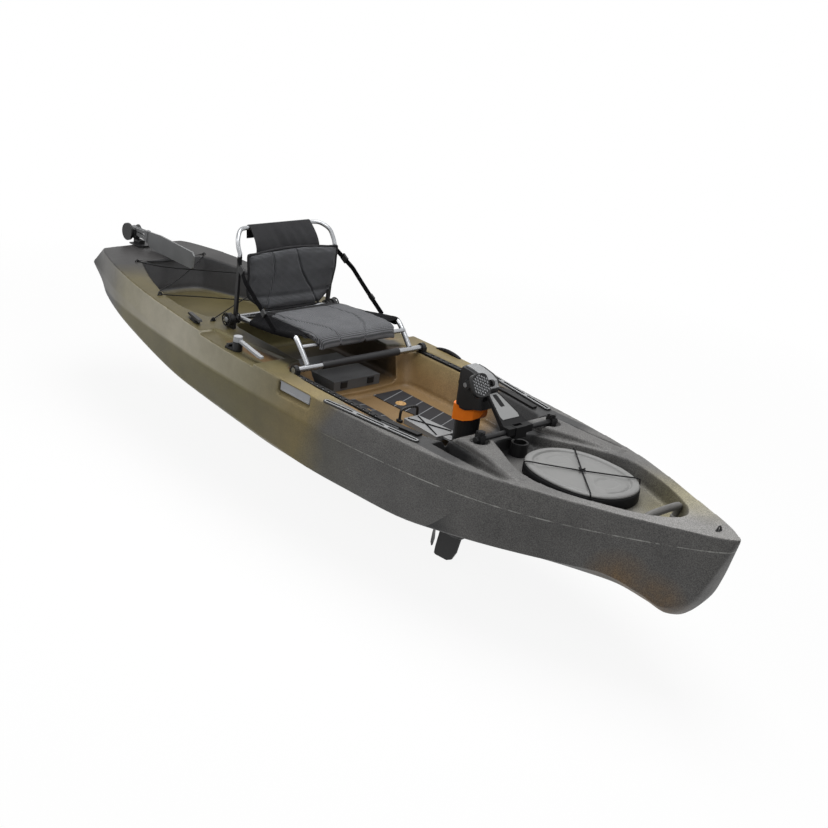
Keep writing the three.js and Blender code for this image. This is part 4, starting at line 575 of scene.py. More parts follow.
materials = {
    "hull": hullMaterial(),
    "black": mouldedMaterial("blackPlastic", (24, 24, 25), 0.42, shine=0.3),
    "dull": mouldedMaterial("dullBlack", (15, 15, 16), 0.6, shine=0.15),
    "blade": mouldedMaterial("bladeGrey", (108, 109, 110), 0.5, 1.6, 160.0, 0.4, 0.25),
    "bracePlate": mouldedMaterial("braceGrey", (128, 129, 129), 0.45, 1.2, 300.0, 0.3),
    "tread": mouldedMaterial("pedalTread", (128, 129, 131), 0.5, 1.4, 300.0, 0.3),
    "grey": mouldedMaterial("greyPlastic", (130, 131, 132), 0.45),
    "box": mouldedMaterial("boxGrey", (84, 85, 87), 0.4, 1.4),
    "speckled": mouldedMaterial("speckledGrey", (86, 85, 83), 0.5, 1.8, 190.0, 0.5),
    "lid": mouldedMaterial("lidGrey", (122, 122, 121), 0.4, 1.12),
    "silver": mouldedMaterial("silverPlastic", (158, 160, 163), 0.35),
    "tan": mouldedMaterial("tanPlastic", (168, 134, 88), 0.5),
    "orange": mouldedMaterial("orangePlastic", (255, 128, 30), 0.38, 1.1, 500.0, 0.1),
    "rubber": mouldedMaterial("sleeveRubber", (30, 30, 32), 0.55, 1.3, 260.0, 0.4),
    "pad": padMaterial(),
    "rail": railMaterial(),
    "cord": mouldedMaterial("braidedCord", (14, 14, 15), 0.8, 1.8, 700.0, 0.6, 0.2),
    "aluminium": metalMaterial("drawnAluminium", (172, 174, 177), 0.28, 1),
    "tubeLong": metalMaterial("drawnAluminiumLong", (172, 174, 177), 0.28, 0),
    "steel": metalMaterial("turnedSteel", (150, 152, 155), 0.32, 1),
    "meshFlat": fabricMaterial("seatMesh", (0, 1), (22, 22, 24), (112, 113, 116), border=(-0.462, 0.222)),
    "meshUp": fabricMaterial("backMesh", (1, 2), (18, 18, 20), (98, 99, 102)),
    "cloth": fabricMaterial("headCloth", (1, 2), (24, 24, 25), (56, 56, 58), 0.0016, 0.1),
    "sideCloth": fabricMaterial("sideCloth", (0, 1), (12, 12, 13), (22, 22, 24), 0.0016, 0.04),
    "webbing": fabricMaterial("webbing", (0, 2), (10, 10, 11), (24, 24, 26), 0.0022, 0.04),
}
print("materials made")

# mesh tools


def newObject(name, mesh, material, body, smooth=True):
    obj = bpy.data.objects.new(name, mesh)
    scene.collection.objects.link(obj)
    mesh.materials.clear()
    mesh.materials.append(material)
    if smooth:
        for face in mesh.polygons:
            face.use_smooth = True
    if body:
        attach(obj, body)
    return obj


def meshFrom(name, points, faces):
    mesh = bpy.data.meshes.new(name)
    mesh.from_pydata([tuple(p) for p in points], [], faces)
    work = bmesh.new()
    work.from_mesh(mesh)
    bmesh.ops.remove_doubles(work, verts=work.verts, dist=1e-6)
    bmesh.ops.recalc_face_normals(work, faces=work.faces)
    work.to_mesh(mesh)
    work.free()
    return mesh


def loftMesh(name, rings, closeEnds=True):
    count = len(rings[0])
    points = [p for ring in rings for p in ring]
    faces = []
    for i in range(len(rings) - 1):
        for j in range(count):
            a, b = i * count + j, i * count + (j + 1) % count
            faces.append((a, b, b + count, a + count))
    if closeEnds:
        faces.append(tuple(reversed(range(count))))
        faces.append(tuple(range((len(rings) - 1) * count, len(rings) * count)))
    return meshFrom(name, points, faces)


def catmull(points, steps, closed=False):
    out = []
    count = len(points)
    spans = count if closed else count - 1
    for i in range(spans):
        if closed:
            p = [Vector(points[(i + k) % count]) for k in (-1, 0, 1, 2)]
        else:
            p = [Vector(points[min(max(i + k, 0), count - 1)]) for k in (-1, 0, 1, 2)]
        for j in range(steps):
            t = j / steps
            out.append(0.5 * (2 * p[1] + (p[2] - p[0]) * t + (2 * p[0] - 5 * p[1] + 4 * p[2] - p[3]) * t * t
                              + (3 * p[1] - p[0] - 3 * p[2] + p[3]) * t ** 3))
    if not closed:
        out.append(Vector(points[-1]))
    return out


def softened(points, rounds=2):
    # cuts the corners of a closed outline
    for _ in range(rounds):
        cut = []
        for i, p in enumerate(points):
            q = points[(i + 1) % len(points)]
            cut += [[a * 0.75 + b * 0.25 for a, b in zip(p, q)], [a * 0.25 + b * 0.75 for a, b in zip(p, q)]]
        points = cut
    return points


def turns(count):
    return [2 * math.pi * i / count for i in range(count)]


def mirrored(half):
    return list(half) + [[x, -y] for x, y in reversed(half) if y > 0]


def applyModifiers(obj):
    depsgraph = bpy.context.evaluated_depsgraph_get()
    mesh = bpy.data.meshes.new_from_object(obj.evaluated_get(depsgraph))
    obj.modifiers.clear()
    old = obj.data
    obj.data = mesh
    bpy.data.meshes.remove(old)


def remeshed(obj, voxel, smoothing, factor=0.5):
    modifier = obj.modifiers.new("even", "REMESH")
    modifier.mode = "VOXEL"
    modifier.voxel_size = voxel
    modifier.use_smooth_shade = True
    soften = obj.modifiers.new("soften", "SMOOTH")
    soften.factor = factor
    soften.iterations = smoothing
    applyModifiers(obj)


def combine(target, tool, operation):
    modifier = target.modifiers.new("combine", "BOOLEAN")
    modifier.operation = operation
    modifier.object = tool
    modifier.solver = "EXACT"
    applyModifiers(target)
    bpy.data.objects.remove(tool)


def looseObject(name, mesh):
    obj = bpy.data.objects.new(name, mesh)
    scene.collection.objects.link(obj)
    return obj


def boxMesh(name, low, high):
    (x0, y0, z0), (x1, y1, z1) = low, high
    rings = [[(x, y0, z0), (x, y1, z0), (x, y1, z1), (x, y0, z1)] for x in (x0, x1)]
    return loftMesh(name, rings)


def slabMesh(name, outline, z0, z1):
    return loftMesh(name, [[(x, y, z) for x, y in outline] for z in (z0, z1)])


def tubeCurve(name, points, radius, material, body, resolution=6, cyclic=False):
    data = bpy.data.curves.new(name, "CURVE")
    data.dimensions = "3D"
    data.bevel_depth = radius
    data.bevel_resolution = 5
    data.use_fill_caps = True
    spline = data.splines.new("POLY")
    path = catmull(points, resolution, cyclic)
    spline.points.add(len(path) - 1)
    for spot, p in zip(spline.points, path):
        spot.co = (*p, 1)
    spline.use_cyclic_u = cyclic
    spline.use_smooth = True
    data.materials.append(material)
    obj = bpy.data.objects.new(name, data)
    scene.collection.objects.link(obj)
    if body:
        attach(obj, body)
    return obj


edgeShape = {"segments": 2, "angle": 35}


def softEdges(obj, width):
    modifier = obj.modifiers.new("softEdge", "BEVEL")
    modifier.width = width
    modifier.segments = edgeShape["segments"]
    modifier.limit_method = "ANGLE"
    modifier.angle_limit = math.radians(edgeShape["angle"])
    modifier.harden_normals = False
    for face in obj.data.polygons:
        face.use_smooth = True
    weighted = obj.modifiers.new("weighted", "WEIGHTED_NORMAL")
    weighted.keep_sharp = True


# the hull

# x, gunwale half width and height, crease half width and height, bilge, mid and keel height, in millimetres
hullStations = [
    (-1771, 222, 404, 244, 322, 205, 158, 120), (-1700, 263, 404, 272, 306, 202, 150, 105),
    (-1500, 326, 399, 335, 298, 177, 126, 70), (-1300, 362, 386, 370, 286, 148, 95, 40),
    (-1100, 386, 375, 394, 262, 112, 64, 18), (-900, 404, 368, 412, 240, 84, 38, 4),
    (-650, 428, 360, 436, 230, 72, 28, 0), (-400, 441, 356, 449, 226, 60, 14, 0),
    (-150, 448, 352, 456, 226, 46, 0, 0), (100, 447, 348, 455, 222, 30, 0, 0),
    (350, 434, 342, 442, 220, 26, 0, 0),
    (600, 417, 338, 425, 225, 26, 0, 0),
    (800, 397, 337, 405, 232, 48, 24, 0), (1000, 360, 342, 367, 242, 72, 51, 4),
    (1150, 318, 350, 325, 252, 89, 72, 8), (1300, 266, 354, 272, 263, 106, 92, 12),
    (1450, 203, 357, 209, 276, 117, 103, 18), (1570, 150, 361, 155, 287, 88, 72, 8),
    (1653, 112, 365, 116, 296, 62, 48, 1), (1733, 74, 368, 77, 305, 120, 102, 79),
    (1773, 52, 369, 53, 312, 200, 188, 176), (1808, 26, 370, 27, 340, 300, 294, 288),
    (1830, 8, 370, 8, 366, 362, 361, 360),
]
hullShape = {"steps": 5, "voxel": 0.005, "smoothing": 3, "lowRise": 0.45, "bulge": 22}


def stationLines():
    lines = {k: [] for k in ("keel", "low", "mid", "bilge", "crease", "gunwale", "deck")}
    for x, wg, zg, wc, zc, zb, zm, zk in hullStations:
        first = x == hullStations[0][0]
        shift = {"keel": 30, "low": 30, "mid": 22, "bilge": 12, "crease": -59, "gunwale": 0, "deck": -40}
        dip = 10 if x < -1500 else 0
        ring = {"keel": (x, 0, zk), "low": (x, wg * 0.5, zk + (zm - zk) * hullShape["lowRise"]),
                "mid": (x, wg * 0.8, zm), "bilge": (x, wg * 0.94, zb), "crease": (x, wc, zc),
                "gunwale": (x, wg, zg), "deck": (x, 0, zg - dip)}
        for key, (px, py, pz) in ring.items():
            lines[key].append(((px + (shift[key] if first else 0)) * mm, py * mm, pz * mm))
    return {k: catmull(v, hullShape["steps"]) for k, v in lines.items()}


def hullSolid():
    lines = stationLines()
    rings = []
    for i in range(len(lines["keel"])):
        p = {k: v[i].copy() for k, v in lines.items()}
        for q in p.values():
            q.z = max(q.z, 0)
        under = catmull([p["keel"], p["low"], p["mid"], p["bilge"]], 3)
        flank = [p["bilge"].lerp(p["crease"], t) for t in (0.33, 0.66)]
        band = [p["crease"].lerp(p["gunwale"], t) for t in (0, 0.5)]
        top = [p["gunwale"].lerp(p["deck"], t) for t in (0, 0.4, 0.8)]
        half = under + flank + band + top
        half = [Vector((q.x, max(q.y, 0), max(q.z, 0))) for q in half]
        ring = half + [p["deck"]] + [Vector((q.x, -q.y, q.z)) for q in reversed(half[1:])]
        rings.append(ring)
    first = rings[0]
    middleZ = (first[0].z + first[len(first) // 2].z) / 2
    creaseX = min(q.x for q in first)
    for share, reach in ((0.75, 0.5), (0.5, 1.0)):
        back = hullShape["bulge"] * mm * reach
        ring = [Vector((creaseX + (q.x - creaseX) * share * 0.3 - back, q.y * share,
                        middleZ + (q.z - middleZ) * share)) for q in first]
        rings.insert(0, ring)
    return loftMesh("hullSolid", rings)


def basinMesh(name, topHalf, bottomHalf, zTop, zBottom, rounds=2):
    # the walls meet the floor in a small round
    top, bottom = softened(mirrored(topHalf), rounds), softened(mirrored(bottomHalf), rounds)
    rings = []
    for share in (0.0, 0.06, 0.16, 1.0):
        pull = {0.0: 0.0, 0.06: 0.12, 0.16: 0.16, 1.0: 1.0}[share]
        z = zBottom + (zTop - zBottom) * share
        inset = 0.965 if share == 0.0 else 1.0
        cx = sum(p[0] for p in bottom) / len(bottom)
        ring = []
        for (tx, ty), (bx, by) in zip(top, bottom):
            px, py = bx + (tx - bx) * pull, by + (ty - by) * pull
            ring.append(((cx + (px - cx) * inset) * mm, py * inset * mm, z * mm))
        rings.append(ring)
    return loftMesh(name, rings)


wellOutlines = {
    "foot": (([-80, 0], [-150, 250], [-140, 325], [-60, 337], [400, 330], [600, 300], [692, 285], [706, 150],
              [716, 122], [764, 112], [764, 0]),
             ([-60, 0], [-80, 225], [-70, 262], [0, 280], [400, 258], [560, 232], [650, 205], [684, 132],
              [700, 110], [750, 100], [750, 0]), 342, 200),
    "seat": (([-690, 0], [-690, 222], [-662, 250], [-300, 250], [-60, 250], [-40, 0]),
             ([-672, 0], [-672, 205], [-650, 228], [-300, 232], [-60, 232], [-40, 0]), 460, 226),
    "tank": (([-1552, 0], [-1545, 168], [-1470, 205], [-1300, 270], [-1106, 322], [-951, 336], [-800, 312],
              [-775, 270], [-772, 0]),
             ([-1500, 0], [-1492, 140], [-1420, 180], [-1280, 244], [-1100, 296], [-955, 308], [-830, 285],
              [-808, 250], [-804, 0]), 460, 235),
    "bow": (([762, 0], [762, 112], [820, 134], [900, 178], [1000, 222], [1100, 250], [1200, 250], [1300, 222],
             [1400, 182], [1500, 137], [1590, 82], [1640, 26], [1640, 0]),
            ([790, 0], [790, 96], [835, 112], [905, 152], [1003, 200], [1100, 230], [1198, 231], [1290, 205],
             [1384, 168], [1470, 126], [1540, 76], [1570, 24], [1570, 0]), 460, 285),
}
humpRows = [(664, 168, 236, 290), (704, 146, 246, 344), (738, 134, 252, 366), (802, 134, 260, 373),
            (900, 178, 268, 368), (1000, 222, 292, 358), (1100, 250, 312, 351)]
troughRows = [(680, 246, 324, 284), (738, 256, 324, 286), (802, 264, 328, 292), (900, 272, 330, 304),
              (1000, 296, 331, 322), (1064, 308, 330, 338)]


def gunwaleAt(x):
    for a, b in zip(hullStations, hullStations[1:]):
        if a[0] <= x <= b[0]:
            t = (x - a[0]) / (b[0] - a[0])
            return a[1] + (b[1] - a[1]) * t, a[2] + (b[2] - a[2]) * t
    return hullStations[-1][1:3]


def sideLoft(name, rows, side):
    return loftMesh(name, [[(x * mm, side * y * mm, z * mm) for y, z in ring] for x, ring in rows])


def ellipseOutline(x, a, b, count=48):
    return [(x * mm + a * mm * math.cos(t), b * mm * math.sin(t)) for t in turns(count)]


humpShape = {"foot": 268, "corner": 8}


def humpRing(inner, outer, high):
    foot, corner = humpShape["foot"], humpShape["corner"]
    return [(inner, foot), (inner, high - corner), (inner + corner, high), (outer - corner, high),
            (outer, high - corner), (outer, foot)]


def buildHull():
    hull = looseObject("hullShell", hullSolid())
    cutters = []
    for side in (-1, 1):
        rows = [(x, humpRing(inner, outer, high)) for x, inner, outer, high in humpRows]
        combine(hull, looseObject("add", sideLoft("hump", rows, side)), "UNION")
    for name, (top, bottom, zTop, zBottom) in wellOutlines.items():
        cutters.append(basinMesh(name, top, bottom, zTop, zBottom))
    ledge = [[-215, 0], [-215, 282], [-140, 372], [420, 366], [600, 335], [690, 326], [690, 252], [700, 140],
             [716, 122], [740, 0]]
    outline = [(x * mm, y * mm) for x, y in softened(mirrored(ledge), 2)]
    cutters.append(slabMesh("ledge", outline, 0.338, 0.46))
    cutters.append(boxMesh("between", (-0.06, -0.112, 0.33), (0.762, 0.112, 0.46)))
    cutters.append(boxMesh("barGroove", (0.785, -0.235, 0.362), (0.819, 0.235, 0.46)))
    cutters.append(boxMesh("slot", (0.12, -0.048, -0.02), (0.712, 0.048, 0.192)))
    opening = [(0.262, -0.035), (0.446, -0.048), (0.712, -0.048), (0.712, 0.048), (0.446, 0.048),
               (0.262, 0.035)]
    cutters.append(slabMesh("opening", opening, 0.18, 0.26))
    cutters.append(slabMesh("storage", ellipseOutline(1139, 196, 142), 0.13, 0.46))
    for side in (-1, 1):
        rows = [(x, [(i, z), (i, 460), (o, 460), (o, z)]) for x, i, o, z in troughRows]
        cutters.append(sideLoft("trough", rows, side))
        rows = []
        for x, inner in ((-664, 345), (-255, 286)):
            low = gunwaleAt(x)[1] - 14
            rows.append((x, [(inner, low), (inner, 460), (510, 460), (510, low)]))
        cutters.append(sideLoft("recess", rows, side))
        deep = gunwaleAt(18)[0] - 30
        rows = [(x, [(deep, 342), (510, 342), (510, 274), (deep + 48, 274), (deep, 304)]) for x in (-82, 118)]
        cutters.append(sideLoft("pocket", rows, side))
        seat = [(0.802 + 0.038 * math.cos(t), side * 0.197 + 0.038 * math.sin(t))
                for t in turns(32)]
        cutters.append(slabMesh("barSeat", seat, 0.354, 0.46))
    for mesh in cutters:
        combine(hull, looseObject("cut", mesh), "DIFFERENCE")
    rim = looseObject("rim", slabMesh("rim", ellipseOutline(1139, 202, 148), 0.28, 0.311))
    hole = looseObject("rimHole", slabMesh("rimHole", ellipseOutline(1139, 196, 142), 0.1, 0.4))
    combine(rim, hole, "DIFFERENCE")
    combine(hull, rim, "UNION")
    voxel = hullShape["voxel"] * 1
    remeshed(hull, voxel, hullShape["smoothing"])
    hull.data.materials.clear()
    hull.data.materials.append(materials["hull"])
    for face in hull.data.polygons:
        face.use_smooth = True
    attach(hull, "hull")
    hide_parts("hull")
    print("hull faces:", len(hull.data.polygons))


buildHull()

# padded seat and back


def seamPush(obj, lines, width, depth, centre, flat):
    # draws the skin towards the middle plane along each seam line
    for vert in obj.data.vertices:
        p = vert.co
        u, v = flat(p)
        near = min(distanceToLine(u, v, line) for line in lines)
        pull = math.exp(-(near / width) ** 2)
        vert.co = p + (centre(p) - p).normalized() * depth * pull


def distanceToLine(u, v, line):
    best = 9.0
    for (a, b), (c, d) in zip(line, line[1:]):
        dx, dy = c - a, d - b
        t = max(0, min(1, ((u - a) * dx + (v - b) * dy) / (dx * dx + dy * dy)))
        best = min(best, math.hypot(u - a - dx * t, v - b - dy * t))
    return best


def inflate(obj, voxel, cap, frames=20):
    # swells the closed cover a little, as foam does under stretched cloth
    even = obj.modifiers.new("even", "REMESH")
    even.mode = "VOXEL"
    even.voxel_size = voxel
    applyModifiers(obj)
    rest = [v.co.copy() for v in obj.data.vertices]
    cloth = obj.modifiers.new("cover", "CLOTH")
    cloth.settings.use_pressure = True
    cloth.settings.uniform_pressure_force = 4
    cloth.settings.effector_weights.gravity = 0
    cloth.point_cache.frame_start = 1
    cloth.point_cache.frame_end = frames
    for step in range(1, frames + 1):
        scene.frame_set(step)
    applyModifiers(obj)
    scene.frame_set(1)
    for vert, start in zip(obj.data.vertices, rest):
        move = vert.co - start
        if move.length > cap:
            vert.co = start + move.normalized() * cap
    soften = obj.modifiers.new("soften", "SMOOTH")
    soften.factor = 0.5
    soften.iterations = 4
    applyModifiers(obj)


def refine(obj):
    step = obj.modifiers.new("fine", "SUBSURF")
    step.levels = step.render_levels = 1
    applyModifiers(obj)
    for face in obj.data.polygons:
        face.use_smooth = True


seatPadShape = {"voxel": 0.0055, "cap": 0.006, "fill": 0.55, "halfRear": 0.205, "halfFore": 0.228,
                "side": [(-0.538, 0.43), (-0.54, 0.44), (-0.538, 0.45), (-0.5, 0.461), (-0.44, 0.47),
                         (-0.36, 0.474), (-0.28, 0.477), (-0.2, 0.478), (-0.16, 0.475), (-0.136, 0.467),
                         (-0.122, 0.452),
                         (-0.118, 0.434), (-0.119, 0.419), (-0.126, 0.415), (-0.135, 0.418), (-0.137, 0.436),
                         (-0.142, 0.445), (-0.2, 0.446), (-0.3, 0.441), (-0.425, 0.432)]}
seatSeams = [[(-0.545, -0.192), (-0.42, -0.19), (-0.33, -0.178), (-0.284, -0.156), (-0.211, -0.122),
              (-0.12, -0.104)],
             [(-0.545, 0.088), (-0.42, 0.098), (-0.36, 0.104), (-0.3, 0.112), (-0.25, 0.1), (-0.2, 0.08),
              (-0.12, 0.03)]]


def buildSeatPad():
    s = seatPadShape
    rings = []
    for i in range(25):
        t = i / 12 - 1
        drop = 0.006 * abs(t) ** 8
        ring = []
        for x, z in s["side"]:
            half = s["halfRear"] + (s["halfFore"] - s["halfRear"]) * min(1, (x + 0.545) / 0.35)
            half -= 0.03 * max(0, (x + 0.17) / 0.05) ** 2
            ring.append((x, t * half, z - drop))
        rings.append(ring)
    mesh = loftMesh("seatPadCover", rings)
    pad = newObject("seatPadCover", mesh, materials["meshFlat"], None)
    inflate(pad, s["voxel"], s["cap"])
    refine(pad)
    middle = 0.448
    seamPush(pad, seatSeams, 0.0042, 0.0085, lambda p: Vector((p.x, p.y, middle)), lambda p: (p.x, p.y))
    seamPush(pad, [[(-0.55, 0.214), (-0.12, 0.214)], [(-0.55, -0.214), (-0.12, -0.214)]], 0.004, 0.004,
             lambda p: Vector((p.x, p.y * 0.9, middle)), lambda p: (p.x, p.y))
    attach(pad, "seat")
    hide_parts("seat_pad")


backShape = {"voxel": 0.006, "cap": 0.006, "fill": 0.5, "thick": 0.02,
             "rows": [(0.434, -0.592, 0.135), (0.443, -0.594, 0.156), (0.458, -0.597, 0.176),
                      (0.474, -0.601, 0.198), (0.492, -0.606, 0.222), (0.52, -0.61, 0.236),
                      (0.56, -0.612, 0.241), (0.6, -0.612, 0.243), (0.64, -0.615, 0.245),
                      (0.67, -0.617, 0.248), (0.686, -0.618, 0.248), (0.692, -0.619, 0.242)],
             "bow": 0.012, "arch": 0.016}
backSeams = [[(0.43, -0.142), (0.5, -0.124), (0.54, -0.114), (0.608, -0.102), (0.66, -0.108), (0.72, -0.12)],
             [(0.43, 0.15), (0.511, 0.112), (0.55, 0.08), (0.593, 0.052), (0.65, 0.03), (0.72, 0.012)]]
lumbarSeam = [[(0.506, -0.26), (0.496, -0.1), (0.494, 0.0), (0.496, 0.1), (0.506, 0.26)]]


def backBow(z):
    # the back is curved only above its lower edge
    return backShape["bow"] * min(1, max(0, (z - 0.5) / 0.1))


def buildBackPad():
    s = backShape
    rings = []
    for i, (z, x, half) in enumerate(s["rows"]):
        rise = s["arch"] * max(0, (z - 0.6) / 0.1)
        bow = backBow(z)
        front, rear = [], []
        for k in range(21):
            t = k / 10 - 1
            y = half * t
            lift = rise * (1 - t * t)
            front.append((x + s["thick"] * 0.5 + bow * t * t, y, z + lift))
            rear.append((x - s["thick"] * 0.5 + bow * t * t, y, z + lift))
        rings.append(front + rear[::-1])
    mesh = loftMesh("backPadCover", rings)
    pad = newObject("backPadCover", mesh, materials["meshUp"], None)
    inflate(pad, s["voxel"], s["cap"])
    refine(pad)
    towards = lambda p: Vector((-0.606 - (p.z - 0.5) * 0.07 + s["bow"] * (p.y / 0.24) ** 2, p.y, p.z))
    seamPush(pad, backSeams, 0.0042, 0.0075, towards, lambda p: (p.z, p.y))
    seamPush(pad, lumbarSeam, 0.012, 0.004, towards, lambda p: (p.z, p.y))
    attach(pad, "seat_back")
    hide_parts("back_pad")
    # bound edge all round
    edge = [(x + 0.002 + backBow(z), half - 0.0035, z + (0.004 if z < 0.5 else 0))
            for z, x, half in s["rows"]]
    top = []
    z, x, half = s["rows"][-1]
    for k in range(1, 12):
        t = 1 - k / 6
        top.append((x + s["bow"] * t * t, half * t, z + s["arch"] * (1 - t * t) - 0.006))
    loop = edge + top + [(px, -py, pz) for px, py, pz in reversed(edge)]
    piping = tubeCurve("backBinding", loop, 0.0058, materials["cloth"], "seat_back", 3, True)


# head flap

flapShape = {"width": 0.34, "depth": 0.0062, "thick": 0.0024}


def buildHeadFlap():
    hoop = Vector((-0.722, 0, 0.775))
    reach = 0.0125
    rise = ((-0.641, 0.685), (-0.645, 0.703), (-0.659, 0.729), (-0.683, 0.757))
    lines = [Vector((x, 0, z)) for x, z in rise]
    for angle in (50, 80, 110, 140, 180):
        a = math.radians(angle)
        lines.append(hoop + Vector((reach * math.cos(a), 0, reach * math.sin(a))))
    lines += [Vector((-0.7345, 0, 0.75)), Vector((-0.733, 0, 0.725))]
    path = catmull(lines, 5)
    across = 72
    grid, faces = [], []
    length = [0]
    for a, b in zip(path, path[1:]):
        length.append(length[-1] + (b - a).length)
    for i, p in enumerate(path):
        share = length[i] / length[-1]
        half = flapShape["width"] / 2 * (1.0 - 0.07 * share) + 0.004
        for k in range(across + 1):
            t = 2 * k / across - 1
            lean = t + 0.22 * share
            wave = 0.7 * math.sin(lean * 8.3 + 0.6) * math.sin(lean * 3.1 + 1.9)
            wave += 0.45 * math.sin(lean * 19.7 + 2.0) * (1 - t * t)
            wave *= math.sin(math.pi * min(1, 0.12 + share * 1.3)) ** 2
            side = 1 - abs(t) ** 3
            push = Vector((0.7, 0, 0.6)) * flapShape["depth"] * wave * side
            grid.append(p + push + Vector((0, half * t, 0)))
    for i in range(len(path) - 1):
        for k in range(across):
            a = i * (across + 1) + k
            faces.append((a, a + 1, a + across + 2, a + across + 1))
    mesh = meshFrom("headFlapCloth", grid, faces)
    flap = newObject("headFlapCloth", mesh, materials["cloth"], None)
    solid = flap.modifiers.new("thickness", "SOLIDIFY")
    solid.thickness = flapShape["thick"]
    solid.offset = 0
    applyModifiers(flap)
    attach(flap, "seat_back")
    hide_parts("head_flap")


# seat side wraps

wrapShape = {"aft": -0.542, "fore": -0.198, "thick": 0.002, "reach": 0.0128}


def sideTubePoints(side):
    line = [(-0.109, 0.284, 0.369), (-0.166, 0.284, 0.433), (-0.204, 0.284, 0.461), (-0.258, 0.284, 0.455),
            (-0.345, 0.2822, 0.4413), (-0.525, 0.248, 0.413), (-0.641, 0.236, 0.401)]
    return [(x, side * y, z) for x, y, z in line]


def tubeHeight(points, x):
    path = catmull(points, 12)
    best = min(path, key=lambda p: abs(p.x - x) + (0 if p.z > 0.4 else 1))
    return abs(best.y), best.z


def buildSideWraps():
    s = wrapShape
    for side, name in bothSides:
        points = sideTubePoints(side)
        grid, faces, rows = [], [], 26
        for i in range(rows + 1):
            x = s["aft"] + (s["fore"] - s["aft"]) * i / rows
            middle, z = tubeHeight(points, x)
            sag = 0.0015 * math.sin(i * 1.9)
            start = 0.205 + 0.02 * min(1, (x + 0.545) / 0.35)
            top = 0.45 + 0.014 * min(1, i / rows * 1.6)
            section = [(start - 0.006, top), (start + 0.3 * (middle - start), top + 0.002 + sag),
                       (start + 0.62 * (middle - start), (top + z + s["reach"]) / 2 + sag)]
            for angle in (100, 70, 40, 10, -20, -50, -80, -110):
                a = math.radians(angle)
                section.append((middle + s["reach"] * math.cos(a), z + s["reach"] * math.sin(a)))
            section += [(middle - 0.022, z - 0.012)]
            grid += [Vector((x, side * y, zz)) for y, zz in section]
        count = len(section)
        for i in range(rows):
            for k in range(count - 1):
                a = i * count + k
                faces.append((a, a + 1, a + count + 1, a + count))
        mesh = meshFrom("sideWrap_" + name, grid, faces)
        wrap = newObject("sideWrap_" + name, mesh, materials["sideCloth"], None)
        for kind in ("SUBSURF", "SOLIDIFY"):
            step = wrap.modifiers.new(kind.lower(), kind)
            if kind == "SOLIDIFY":
                step.thickness = s["thick"]
                step.offset = 0
        applyModifiers(wrap)
        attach(wrap, "seat")


# seat tubes, hoop, front bar and sleeve


def buildSeatTubes():
    tubes = []
    for side in (-1, 1):
        tubes.append(tubeCurve("seatTubes", sideTubePoints(side), 0.0115, materials["tubeLong"], None, 10))
    rear = [(-0.645, y, 0.401) for y in (-0.29, 0, 0.29)]
    tubes.append(tubeCurve("rearTube", rear, 0.013, materials["aluminium"], None, 2))
    for i, (x, y, z) in enumerate(((-0.154, 0.284, 0.433), (-0.48, 0.256, 0.416))):
        tubes.append(tubeCurve("crossTube" + str(i), [(x, -y, z), (x, 0, z), (x, y, z)], 0.0097,
                               materials["aluminium"], None, 2))
    for tube in tubes:
        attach(tube, "seat")
    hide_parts("seat_frame")
    bar = tubeCurve("frontBar", [(-0.101, -0.362, 0.361), (-0.101, 0, 0.361), (-0.101, 0.362, 0.361)], 0.013,
                    materials["aluminium"], "seat", 2)
    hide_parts("front_bar")
    rings = []
    for y, r in ((-0.214, 0.0132), (-0.212, 0.0158), (-0.2, 0.0162), (0.2, 0.0162), (0.212, 0.0158),
                 (0.214, 0.0132)):
        rings.append([(-0.101 + r * math.cos(t), y, 0.361 + r * math.sin(t))
                      for t in turns(32)])
    sleeve = newObject("barSleeve", loftMesh("barSleeve", rings), materials["rubber"], "seat")
    half = [(-0.64, 0.262, 0.678), (-0.641, 0.262, 0.69), (-0.656, 0.262, 0.716), (-0.676, 0.252, 0.75),
            (-0.704, 0.222, 0.772), (-0.718, 0.185, 0.776), (-0.722, 0.1, 0.775)]
    line = [(x, -y, z) for x, y, z in half] + half[::-1]
    hoop = tubeCurve("seatHoop", line, 0.0095, materials["aluminium"], "seat_back", 8)
    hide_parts("back_hoop")


# tension straps with ladder buckles

strapShape = {"half": 0.012, "thick": 0.0018, "top": (-0.646, 0.266, 0.672), "foot": (-0.318, 0.2995, 0.452)}


def stripMesh(name, points, half, thick, wide):
    # a flat band along points, wide across the given direction
    rings = []
    path = [Vector(p) for p in points]
    for i, p in enumerate(path):
        along = (path[min(i + 1, len(path) - 1)] - path[max(i - 1, 0)]).normalized()
        across = Vector(wide) - along * Vector(wide).dot(along)
        across.normalize()
        normal = along.cross(across)
        ring = []
        for a, b in ((-1, -1), (1, -1), (1, 1), (-1, 1)):
            ring.append(p + across * half * a + normal * thick * b / 2)
        rings.append(ring)
    return loftMesh(name, rings)


